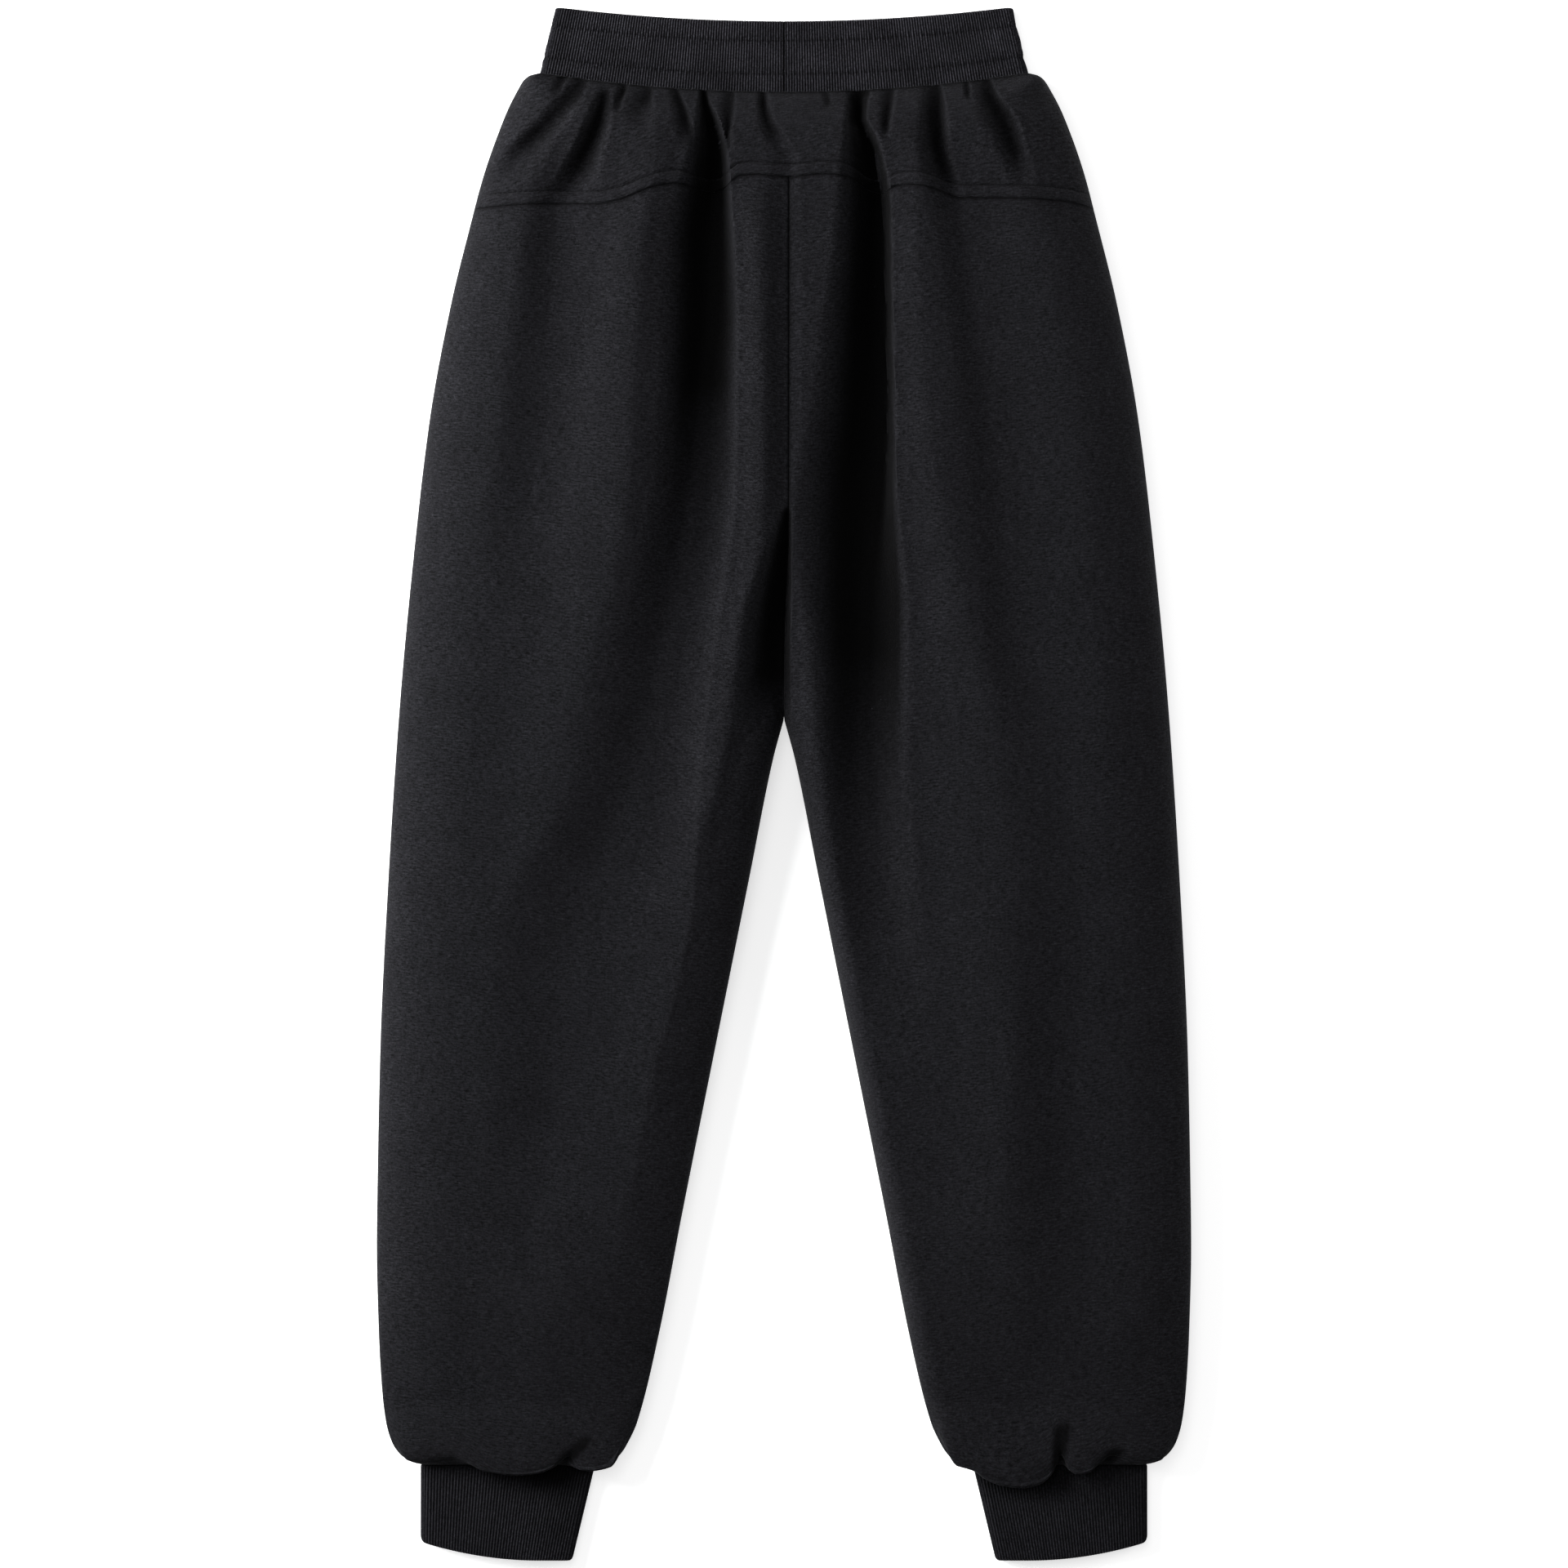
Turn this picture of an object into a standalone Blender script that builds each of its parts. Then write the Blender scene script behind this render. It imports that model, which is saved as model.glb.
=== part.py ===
"""Joggers in heavy brushed knit, laid flat on their front with the back up.

Each sewn piece is one closed wall of cloth: a ribbed waistband, a gathered back
yoke, two back legs, two front legs and two ribbed cuffs. +Y runs to the waistband,
+X to the wearer's right, +Z up, and the cloth lies on z = 0. Sizes are millimetres
and become metres where a mesh is made.
"""
import math
from typing import NamedTuple

import bmesh
import bpy

MM = 0.001

# Driving sizes
BODY_WALL = 2.5
RIB_WALL = 3.0
SEAM_GAP = 0.3
HALF_GAP = SEAM_GAP / 2
BAND_THICK = 13.0
CUFF_THICK = 12.0
SEAM_HEIGHT = 18.0
CROTCH_Y = 41.8
WAIST_HALF = 156.2
WAIST_TOP_HALF = 143.6
WAIST_Y = 446.7
WAIST_RISE = 11.0
WAIST_TOP_Y = 489.8
WAIST_TOP_RISE = 9.9
RIB_PITCH = 1.7
CUFF_PITCH = 1.9
RIB_RELIEF = 0.35
CUFF_SEAM_Y = -437.6
CUFF_OUTER_X = 233.8
CUFF_TOP_INNER_X = 121.6
CUFF_HEM_INNER_X = 135.8
HEM_LOW_Y = -499.7
HEM_LOW_X = 157.3
HEM_RISE = 12.1

# Rows of stitching round the waistband, as shares of its height, and their pull
BAND_STITCHES = (0.27, 0.7)
STITCH_PULL = 0.7
CUFF_BEND = 0.75

# How the laid body rounds over at its edges
TOP_ROUND = 32.0
UNDER_ROUND = 14.0
INSEAM_ROUND = 30.0
CROTCH_VALLEY = 0.25
WAIST_POP = 14.0
EDGE_SETTLE = 26.0
BOW_FADE = 80.0

# The turned-up edge along the yoke seam
HEM_TURN = 8.0
HEM_SLOPE = 1.5
HEM_LIP = 1.2
HEM_RAISE = 1.4
HEM_SIDE_FADE = 0.1

# Where the legs leave the height field and curl over the cuffs
CURL_START_Y = -396.0
LOBE_HEIGHT = 21.0
CUFF_CLEAR = 0.6
LOBE_ROUND = 0.12
CUFF_END_ROUND = 0.04
LOBE_SIDE = 0.07

# How the inner surface follows the outer one
EDGE_SHARE = 0.2
MOST_STRETCH = 1.7
LEAST_RISE = 0.1
NARROWEST_LIP = 1.0


class Edge(NamedTuple):
    """A point of an edge line: how far it is from the centre line at a height."""

    y: float
    x: float


class SeamPoint(NamedTuple):
    """A point of the yoke seam."""

    x: float
    y: float


class Lobe(NamedTuple):
    """Lower edge of the bloused cloth at a share of the way to the side."""

    share: float
    y: float


class Loft(NamedTuple):
    """Height of the back's smooth top above the floor at a height."""

    y: float
    z: float


class Trough(NamedTuple):
    """One cross-section of a fold: its two lips, its bottom and its depth."""

    y: float
    left: float
    bottom: float
    right: float
    depth: float


class Gather(NamedTuple):
    """A short fold that runs down from the waist seam and fades out."""

    top_x: float
    low_x: float
    low_y: float
    depth: float
    half_width: float


class Level(NamedTuple):
    """A line round a tube: its share of the tube's height, and its share of the pull."""

    share: float
    pulled: float


class Cloth(NamedTuple):
    """How a cloth looks: its linear colour and its roughness."""

    colour: tuple
    roughness: float


FLEECE = Cloth((0.0137, 0.0137, 0.0152), 0.95)
RIB = Cloth((0.0165, 0.0165, 0.0195), 0.92)

OUTER_EDGE = (
    Edge(-437.6, 233.8), Edge(-436.3, 238.0), Edge(-430.9, 246.1), Edge(-422.5, 251.8),
    Edge(-409.9, 255.5), Edge(-388.9, 258.1), Edge(-352.2, 260.2), Edge(-297.0, 261.5),
    Edge(-241.9, 260.8), Edge(-168.3, 259.2), Edge(-58.0, 253.9), Edge(52.3, 246.6),
    Edge(162.6, 236.1), Edge(236.1, 227.2), Edge(309.6, 213.5), Edge(356.9, 201.9),
    Edge(388.4, 193.5), Edge(419.9, 182.0), Edge(446.1, 170.4), Edge(453.5, 167.0),
    Edge(456.3, 164.0), Edge(457.6, 157.2),
)
INNER_EDGE = (
    Edge(-437.6, 121.6), Edge(-436.3, 113.7), Edge(-430.9, 104.8), Edge(-422.5, 100.0),
    Edge(-409.9, 94.3), Edge(-352.2, 80.1), Edge(-278.6, 65.9), Edge(-168.3, 43.9),
    Edge(-58.0, 21.8), Edge(15.5, 7.1), Edge(CROTCH_Y, 0.0),
)
LOFTS = (
    Loft(-400, 37), Loft(-330, 36), Loft(-220, 37), Loft(-100, 41), Loft(42, 44),
    Loft(150, 46), Loft(250, 47), Loft(330, 46), Loft(400, 42), Loft(460, 38),
)
YOKE_SEAM = (
    SeamPoint(-199.0, 372.3), SeamPoint(-136.0, 374.7), SeamPoint(-104.8, 376.3),
    SeamPoint(-78.5, 386.3), SeamPoint(-57.5, 385.2), SeamPoint(-28.6, 392.1),
    SeamPoint(4.5, 391.8), SeamPoint(37.0, 392.6), SeamPoint(64.3, 382.1),
    SeamPoint(84.0, 386.3), SeamPoint(115.8, 378.4), SeamPoint(199.0, 372.3),
)

# The deep fold down each back leg, which its panel's columns also follow
DEEP_LEFT = (
    Trough(446, -60, -50, -45, 5), Trough(425, -62, -47, -39, 15),
    Trough(395, -76, -43, -31, 20), Trough(346, -84, -44, -26, 21),
    Trough(294, -90, -49, -24, 21), Trough(240, -98, -55, -24, 19),
    Trough(190, -104, -62, -25, 17), Trough(147, -112, -71, -30, 15),
    Trough(94, -130, -83, -38, 13), Trough(42, -146, -96, -44, 11),
    Trough(-11, -165, -115, -55, 10), Trough(-74, -190, -140, -70, 9),
    Trough(-179, -200, -150, -98, 6), Trough(-273, -205, -158, -118, 3),
    Trough(-340, -205, -160, -125, 0), Trough(-420, -205, -170, -140, 0),
)
DEEP_RIGHT = (
    Trough(446, 40, 44, 50, 6), Trough(425, 40, 48, 57, 15), Trough(400, 38, 54, 66, 20),
    Trough(372, 36, 58, 69, 23), Trough(294, 28, 60, 70, 23), Trough(241, 22, 60, 71, 23),
    Trough(189, 10, 58, 72, 22), Trough(136, 16, 53, 76, 19), Trough(94, 20, 51, 80, 15),
    Trough(42, 26, 52, 80, 11), Trough(-47, 36, 58, 86, 6),
    Trough(-100, 48, 70, 96, 3), Trough(-160, 72, 92, 118, 0),
    Trough(-260, 100, 125, 150, 0), Trough(-420, 140, 165, 190, 0),
)
SOFT_LEFT = (
    Trough(400, -152, -130, -108, 0), Trough(372, -165, -138, -110, 5),
    Trough(320, -185, -157, -130, 6), Trough(268, -195, -168, -142, 4),
    Trough(200, -200, -175, -150, 0),
)
SOFT_RIGHT = (
    Trough(425, 92, 104, 116, 0), Trough(372, 90, 108, 126, 6), Trough(294, 104, 122, 142, 6),
    Trough(189, 120, 139, 160, 4), Trough(94, 128, 147, 168, 0),
)
KNEE_LEFT = (
    Trough(-60, -225, -205, -185, 0), Trough(-180, -225, -205, -180, 4),
    Trough(-300, -215, -196, -175, 5), Trough(-410, -190, -178, -160, 3),
)
KNEE_RIGHT = (
    Trough(-20, 170, 195, 225, 0), Trough(-150, 165, 195, 228, 5),
    Trough(-300, 165, 185, 215, 6), Trough(-410, 160, 176, 190, 5),
)
FOLDS = (DEEP_LEFT, DEEP_RIGHT, SOFT_LEFT, SOFT_RIGHT, KNEE_LEFT, KNEE_RIGHT)
GATHERS = (
    Gather(-140.0, -144.0, 432, 3, 5), Gather(-129.5, -154.0, 405, 7, 7),
    Gather(-114.0, -130.0, 384, 10, 8), Gather(-101.0, -107.0, 425, 4, 5),
    Gather(-85.0, -86.0, 425, 4, 5), Gather(-69.0, -60.0, 410, 5, 6),
    Gather(-13.0, 4.0, 398, 7, 6), Gather(26.0, 29.0, 430, 4, 5),
    Gather(86.0, 84.0, 430, 3, 5), Gather(98.5, 107.5, 384, 9, 7),
    Gather(117.5, 120.0, 430, 4, 5), Gather(130.5, 150.0, 400, 9, 7),
    Gather(145.0, 158.0, 425, 3, 5),
)

# Lower edge of the cloth that blouses over each cuff, from the inseam to the side
LOBES_LEFT = (
    Lobe(0.0, -441.0), Lobe(0.10, -443.0), Lobe(0.19, -431.0), Lobe(0.30, -441.0),
    Lobe(0.45, -443.8), Lobe(0.60, -441.4), Lobe(0.74, -433.0), Lobe(0.86, -434.5),
    Lobe(1.0, -434.5),
)
LOBES_RIGHT = (
    Lobe(0.0, -441.0), Lobe(0.10, -441.0), Lobe(0.22, -449.3), Lobe(0.32, -452.5),
    Lobe(0.46, -447.7), Lobe(0.53, -432.0), Lobe(0.64, -443.0), Lobe(0.70, -443.0),
    Lobe(0.78, -432.0), Lobe(1.0, -435.0),
)

# How finely each piece is divided
YOKE_SPLITS = (1, 2, 2, 2)
INSEAM_COLUMNS = 6
LIP_COLUMNS = 3
LIP_CLEAR = 5.0
OUTER_COLUMNS = 12
OUTER_CROWDING = 0.7
FRONT_MIDDLE = 4
EDGE_STEPS = 3
CURL_TURNS = (25, 50, 72, 90, 115, 145, 180)
BACK_ROWS = (
    372.3, 362, 340, 315, 290, 260, 230, 200, 170, 140, 115, 92, 72, 56, CROTCH_Y, 22, 0,
    -30, -62, -95, -130, -165, -200, -235, -270, -305, -340, -370, CURL_START_Y,
)
YOKE_STEPS = (0.0, 0.03, 0.08, 0.17, 0.30, 0.46, 0.62, 0.78)
SHARED_STEPS = 6
FRONT_ROWS = (
    372, 290, 200, 120, 72, 56, CROTCH_Y, 22, 0, -60, -130, -200,
    -270, -340, CURL_START_Y,
)


def mix(low: float, high: float, share: float) -> float:
    """Go a share of the way from low to high."""
    return low + (high - low) * share


def ease(value: float) -> float:
    """Run smoothly from 0 to 1."""
    value = min(max(value, 0.0), 1.0)
    return value * value * (3.0 - 2.0 * value)


def arch(value: float) -> float:
    """Rise as a quarter circle does, from 0 at an edge to 1 where it is flat."""
    value = min(max(value, 0.0), 1.0)
    return math.sqrt(1.0 - (1.0 - value) ** 2)


def between(table: tuple, key: str, value: str, at: float) -> float:
    """Read a smooth curve through a table's rows, whichever way they are sorted."""
    rows = sorted(table, key=lambda row: getattr(row, key))
    keys = [getattr(row, key) for row in rows]
    values = [getattr(row, value) for row in rows]
    if at <= keys[0]:
        return values[0]
    if at >= keys[-1]:
        return values[-1]
    index = max(i for i, known in enumerate(keys) if known <= at)
    index = min(index, len(keys) - 2)
    slopes = [(values[i + 1] - values[i]) / (keys[i + 1] - keys[i]) for i in range(len(keys) - 1)]

    def tangent(i: int) -> float:
        if i == 0 or i == len(keys) - 1:
            return slopes[min(i, len(slopes) - 1)]
        if slopes[i - 1] * slopes[i] <= 0.0:
            return 0.0
        return 2.0 * slopes[i - 1] * slopes[i] / (slopes[i - 1] + slopes[i])

    span = keys[index + 1] - keys[index]
    t = (at - keys[index]) / span
    rise = ease(t)
    start = t * (1.0 - t) ** 2 * span * tangent(index)
    end = t * t * (t - 1.0) * span * tangent(index + 1)
    return mix(values[index], values[index + 1], rise) + start + end


def outer_x(y: float) -> float:
    """Distance of the side seam from the centre line."""
    return between(OUTER_EDGE, "y", "x", y)


def inner_x(y: float) -> float:
    """Distance of the inseam from the centre line, 0 above the crotch."""
    return between(INNER_EDGE, "y", "x", y) if y < CROTCH_Y else 0.0


def waist_y(x: float) -> float:
    """Height of the seam between the waistband and the body."""
    return WAIST_Y + WAIST_RISE * (x / WAIST_HALF) ** 2


def yoke_seam_y(x: float) -> float:
    """Height of the seam between the yoke and the back legs."""
    return between(YOKE_SEAM, "x", "y", x)


def below_waist(x: float, y: float) -> float:
    """Distance below the waist seam."""
    return max(waist_y(x) - y, 0.0)


def seam_z(x: float, y: float) -> float:
    """Height of the side seam above the floor."""
    return mix(BAND_THICK / 2, SEAM_HEIGHT, ease(below_waist(x, y) / EDGE_SETTLE))


def edge_round(x: float, y: float, full: float) -> float:
    """Width over which the edge rounds, tight at the waistband and full below."""
    return mix(BAND_THICK / 2, full, ease(below_waist(x, y) / EDGE_SETTLE))


def from_inseam(x: float, y: float, stretch: float) -> float:
    """Distance from the inseam, or above it from the crotch point."""
    if y <= CROTCH_Y:
        return abs(x) - inner_x(y)
    return math.hypot(x, (y - CROTCH_Y) * stretch)


def fold_depth(x: float, y: float) -> float:
    """How far the folds lower the cloth."""
    total = 0.0
    for fold in FOLDS:
        if not min(row.y for row in fold) < y <= max(row.y for row in fold):
            continue
        bottom = between(fold, "y", "bottom", y)
        lip = between(fold, "y", "left" if x < bottom else "right", y)
        share = ease(1.0 - abs(x - bottom) / max(abs(lip - bottom), NARROWEST_LIP))
        total += between(fold, "y", "depth", y) * share
    return total


def gather_depth(x: float, y: float) -> float:
    """How far the gathers lower the cloth."""
    total = 0.0
    for gather in GATHERS:
        top = waist_y(gather.top_x)
        run = (top - y) / (top - gather.low_y)
        if run >= 1.0:
            continue
        middle = mix(gather.top_x, gather.low_x, max(run, 0.0))
        across = abs(x - middle) / gather.half_width
        total += gather.depth * ease(1.0 - across) * ease(2.0 * (1.0 - run))
    return total


def top_z(x: float, y: float) -> float:
    """Height of the back's outer surface above the floor."""
    settled = arch(below_waist(x, y) / WAIST_POP)
    full = between(LOFTS, "y", "z", y) - fold_depth(x, y) - gather_depth(x, y)
    crown = mix(BAND_THICK, full, settled)
    side = arch((outer_x(y) - abs(x)) / edge_round(x, y, TOP_ROUND))
    inseam = arch(from_inseam(x, y, CROTCH_VALLEY) / INSEAM_ROUND)
    low = seam_z(x, y)
    return low + (crown - low) * side * inseam


def under_z(x: float, y: float) -> float:
    """Height of the front's outer surface, flat on the floor but for its edges."""
    side = arch((outer_x(y) - abs(x)) / edge_round(x, y, UNDER_ROUND))
    inseam = arch(from_inseam(x, y, 1.0) / UNDER_ROUND)
    return seam_z(x, y) * (1.0 - side * inseam)


def grid_normals(grid: list, up: float) -> list:
    """Unit normals of a grid of points, up or down in its middle as the sign of up says."""
    normals = []
    for r, row in enumerate(grid):
        line = []
        for c in range(len(row)):
            a, b = grid[max(r - 1, 0)][c], grid[min(r + 1, len(grid) - 1)][c]
            d, e = row[max(c - 1, 0)], row[min(c + 1, len(row) - 1)]
            u = [b[i] - a[i] for i in range(3)]
            v = [e[i] - d[i] for i in range(3)]
            n = (u[1] * v[2] - u[2] * v[1], u[2] * v[0] - u[0] * v[2], u[0] * v[1] - u[1] * v[0])
            size = math.hypot(*n) or 1.0
            line.append(tuple(k / size for k in n))
        normals.append(line)
    middle = normals[len(grid) // 2][len(grid[0]) // 2][2]
    flip = 1.0 if middle * up > 0.0 else -1.0
    return [[tuple(flip * k for k in normal) for normal in line] for line in normals]


def material(name: str, cloth: Cloth) -> bpy.types.Material:
    """Make a plain cloth material."""
    made = bpy.data.materials.new(name)
    made.use_nodes = True
    shader = made.node_tree.nodes["Principled BSDF"]
    shader.inputs["Base Color"].default_value = (*cloth.colour, 1.0)
    shader.inputs["Roughness"].default_value = cloth.roughness
    shader.inputs["Metallic"].default_value = 0.0
    return made


def finish(name: str, mesh_data: bmesh.types.BMesh, cloth: Cloth) -> bpy.types.Object:
    """Turn closed cloth into a named object with its own material."""
    bmesh.ops.triangulate(mesh_data, faces=mesh_data.faces[:])
    bmesh.ops.recalc_face_normals(mesh_data, faces=mesh_data.faces[:])
    mesh = bpy.data.meshes.new(name)
    mesh_data.to_mesh(mesh)
    mesh_data.free()
    mesh.shade_smooth()
    mesh.set_sharp_from_angle(angle=math.radians(50))
    mesh.materials.append(material(name, cloth))
    made = bpy.data.objects.new(name, mesh)
    bpy.context.scene.collection.objects.link(made)
    return made


def add_points(mesh_data: bmesh.types.BMesh, grid: list) -> list:
    """Add a grid of points, in metres."""
    return [[mesh_data.verts.new([k * MM for k in point]) for point in row] for row in grid]


def wall(name: str, outer: list, inner: list, kept: list, cloth: Cloth) -> bpy.types.Object:
    """Close an outer grid and a sparser inner one, which has only the kept rows."""
    mesh_data = bmesh.new()
    over = add_points(mesh_data, outer)
    under = add_points(mesh_data, inner)
    for grid in (over, under):
        for upper, lower in zip(grid, grid[1:]):
            for c in range(len(upper) - 1):
                mesh_data.faces.new((upper[c], upper[c + 1], lower[c + 1], lower[c]))
    for row, other in ((over[0], under[0]), (over[-1], under[-1])):
        for c in range(len(row) - 1):
            mesh_data.faces.new((row[c], row[c + 1], other[c + 1], other[c]))
    for c in (0, -1):
        for k, (start, end) in enumerate(zip(kept, kept[1:])):
            for r in range(start, end):
                mesh_data.faces.new((over[r][c], over[r + 1][c], under[k][c]))
            mesh_data.faces.new((over[end][c], under[k + 1][c], under[k][c]))
    return finish(name, mesh_data, cloth)


def ring(half: float, radius: float, steps: int, relief: float, under_steps: int) -> list:
    """Points round a flattened tube: across, height, and how far round they are."""
    flat = half - radius
    corner = math.pi * radius / 2
    length = 2 * (flat + corner)
    points = []
    for i in range(steps + 1):
        s = length * i / steps
        if s < corner:
            turn = s / radius
        elif s > length - corner:
            turn = math.pi - (length - s) / radius
        else:
            turn = math.pi / 2
        middle = flat - min(max(s - corner, 0.0), 2 * flat)
        swell = 0.0 if i in (0, steps) else relief * (-1) ** i
        size = radius + swell
        points.append((middle + size * math.cos(turn), size * math.sin(turn), i / steps))
    turns = [math.pi * (1 + k / 6) for k in (1, 2, 3)]
    low = [(-flat + radius * math.cos(t), radius * math.sin(t)) for t in turns]
    low += [(-flat + 2 * flat * k / under_steps, -radius) for k in range(1, under_steps + 1)]
    low += [(-x, z) for x, z in reversed(low[:2])]
    total = len(low) + 1
    points += [(x, z, 1 + (k + 1) / total) for k, (x, z) in enumerate(low)]
    return points


def zip_rings(mesh_data: bmesh.types.BMesh, first: list, second: list, marks: tuple) -> None:
    """Fill between two rings of points, which may have different counts."""
    i = j = 0
    while i < len(first) or j < len(second):
        next_i = marks[0][i + 1] if i + 1 < len(first) else 2.0
        next_j = marks[1][j + 1] if j + 1 < len(second) else 2.0
        a, b = first[i % len(first)], second[j % len(second)]
        if j >= len(second) or (i < len(first) and next_i <= next_j):
            mesh_data.faces.new((a, first[(i + 1) % len(first)], b))
            i += 1
        else:
            mesh_data.faces.new((a, second[(j + 1) % len(second)], b))
            j += 1


class RibTube:
    """A flattened ribbed tube: the waistband or a cuff."""

    inside_steps = 26
    under_steps = 8

    def __init__(self, thick: float, pitch: float, levels: tuple):
        self.thick = thick
        self.pitch = pitch
        self.levels = levels

    def width(self, level: float) -> tuple:
        """Centre and half width at a level, 0 at the lower edge and 1 at the upper."""
        raise NotImplementedError

    def edge_y(self, x: float, share: float, level: float) -> float:
        """Height of the cloth at a level."""
        raise NotImplementedError

    def loop(self, level: float, steps: int, inset: float, relief: float) -> list:
        """World points round the tube at a level."""
        centre, half = self.width(level)
        radius = self.thick / 2
        points = []
        for across, height, _ in ring(half - inset, radius - inset, steps, relief, self.under_steps):
            x = centre + across
            y = self.edge_y(x, across / half, level)
            points.append((x, y, radius + height))
        return points

    def build(self, name: str, cloth: Cloth) -> bpy.types.Object:
        """Make the closed wall, ribbed outside and above, plain inside and below."""
        half = self.width(0.0)[1]
        radius = self.thick / 2
        steps = 2 * round((2 * half - self.thick * (1 - math.pi / 4)) / self.pitch)
        mesh_data = bmesh.new()
        outside = []
        for level in self.levels:
            drop = STITCH_PULL * level.pulled
            points = self.loop(level.share, steps, 0.0, RIB_RELIEF)
            outside.append([(x, y, z - drop if z > self.thick - 1.0 else z) for x, y, z in points])
        ends = (self.levels[0].share, self.levels[-1].share)
        inside = [self.loop(share, self.inside_steps, RIB_WALL, 0.0) for share in ends]
        outside = add_points(mesh_data, outside)
        inside = add_points(mesh_data, inside)
        for rings in (outside, inside):
            for a, b in zip(rings, rings[1:]):
                for k in range(len(a)):
                    n = (k + 1) % len(a)
                    mesh_data.faces.new((a[k], a[n], b[n], b[k]))
        outer_ring = ring(half, radius, steps, 0.0, self.under_steps)
        inner_ring = ring(half - RIB_WALL, radius - RIB_WALL, self.inside_steps, 0.0, self.under_steps)
        outer_marks = [point[2] for point in outer_ring]
        inner_marks = [point[2] for point in inner_ring]
        for row in (0, -1):
            zip_rings(mesh_data, outside[row], inside[row], (outer_marks, inner_marks))
        return finish(name, mesh_data, cloth)


class Waistband(RibTube):
    """The elastic waistband, whose edges curve up to its ends."""

    def width(self, level: float) -> tuple:
        return 0.0, mix(WAIST_HALF, WAIST_TOP_HALF, level)

    def edge_y(self, x: float, share: float, level: float) -> float:
        low = WAIST_Y + HALF_GAP + WAIST_RISE * share ** 2
        return mix(low, WAIST_TOP_Y + WAIST_TOP_RISE * share ** 2, level)


class Cuff(RibTube):
    """A ribbed cuff, cut straight above and curved along its hem as it lies."""

    def __init__(self, side: int, thick: float, pitch: float, levels: tuple):
        super().__init__(thick, pitch, levels)
        self.side = side

    def width(self, level: float) -> tuple:
        inner = mix(CUFF_HEM_INNER_X, CUFF_TOP_INNER_X, level)
        return self.side * (inner + CUFF_OUTER_X) / 2, (CUFF_OUTER_X - inner) / 2

    def edge_y(self, x: float, share: float, level: float) -> float:
        past = max(abs(x) - HEM_LOW_X, 0.0) / (CUFF_OUTER_X - HEM_LOW_X)
        hem = HEM_LOW_Y + HEM_RISE * past ** 2
        return mix(hem, CUFF_SEAM_Y - SEAM_GAP, level)


def yoke_side_y(step: float) -> float:
    """Height of the yoke's side edge, a share of the way down it."""
    return mix(waist_y(WAIST_HALF) - HALF_GAP, YOKE_SEAM[0].y + HALF_GAP, step)


def seam_columns(side: int) -> list:
    """Points of the yoke seam at the columns of a back leg, from the centre out."""
    marks = knots(BACK_ROWS[0], side)
    across = [side * mix(marks[knot], marks[knot + 1], share) for knot, share in back_shares()]
    return [(x, yoke_seam_y(x)) for x in across]


def yoke_seam_line() -> list:
    """The yoke seam from side to side, straight between the back legs' columns."""
    line = []
    for side in (-1, 1):
        points = seam_columns(side)
        divided = []
        for (knot, _), a, b in zip(back_shares(), points, points[1:]):
            splits = YOKE_SPLITS[knot]
            divided += [(mix(a[0], b[0], k / splits), mix(a[1], b[1], k / splits)) for k in range(splits)]
        divided.append(points[-1])
        line += divided[::-1] if side < 0 else divided
    return line


def yoke_grid() -> list:
    """Outer points of the yoke, with its lower edge turned up and raised."""
    rows = [(step, 0.0, 0.0) for step in YOKE_STEPS]
    rows += [(1.0, HEM_TURN + HEM_SLOPE, 0.0), (1.0, HEM_TURN - HEM_SLOPE / 2, HEM_RAISE)]
    rows += [(1.0, HEM_LIP, HEM_RAISE), (1.0, 0.0, HEM_RAISE / 3)]
    seam = yoke_seam_line()
    side_x = seam[-1][0]
    grid = []
    for step, back_off, raised in rows:
        line = []
        for seam_x, seam_y in seam:
            share = seam_x / side_x
            side_y = yoke_side_y(step) + back_off
            x = share * outer_x(side_y)
            top = waist_y(min(abs(x), WAIST_HALF)) - HALF_GAP
            y = mix(top, seam_y + HALF_GAP, step) + back_off
            low = seam_z(x, y) + HALF_GAP if abs(share) == 1.0 else top_z(x, y)
            line.append((x, y, low + raised * arch((1.0 - abs(share)) / HEM_SIDE_FADE)))
        grid.append(line)
    return grid


def knots(y: float, side: int) -> tuple:
    """Columns that a back leg's grid follows: inseam, lip, bottom, lip, side."""
    deep = DEEP_LEFT if side < 0 else DEEP_RIGHT
    near_key, far_key = ("right", "left") if side < 0 else ("left", "right")
    inside = max(inner_x(y), HALF_GAP)
    near, bottom, far = (abs(between(deep, "y", key, y)) for key in (near_key, "bottom", far_key))
    near = max(near, inside + LIP_CLEAR)
    bottom = max(bottom, near + LIP_CLEAR)
    return inside, near, bottom, far, outer_x(y)


def back_shares() -> list:
    """Places of a back leg's columns as a knot number and a share to the next."""
    shares = [(0, 1 - math.cos(math.pi / 2 * i / INSEAM_COLUMNS)) for i in range(INSEAM_COLUMNS)]
    for knot in (1, 2):
        shares += [(knot, i / LIP_COLUMNS) for i in range(LIP_COLUMNS)]
    for i in range(OUTER_COLUMNS + 1):
        even = i / OUTER_COLUMNS
        shares.append((3, mix(even, math.sin(math.pi / 2 * even), OUTER_CROWDING)))
    return shares


def curl_edge_y(turn: float) -> float:
    """Height of a leg's two edges at a turn of the curl."""
    return mix(CURL_START_Y, CUFF_SEAM_Y, math.sin(math.radians(turn / 2)))


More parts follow.
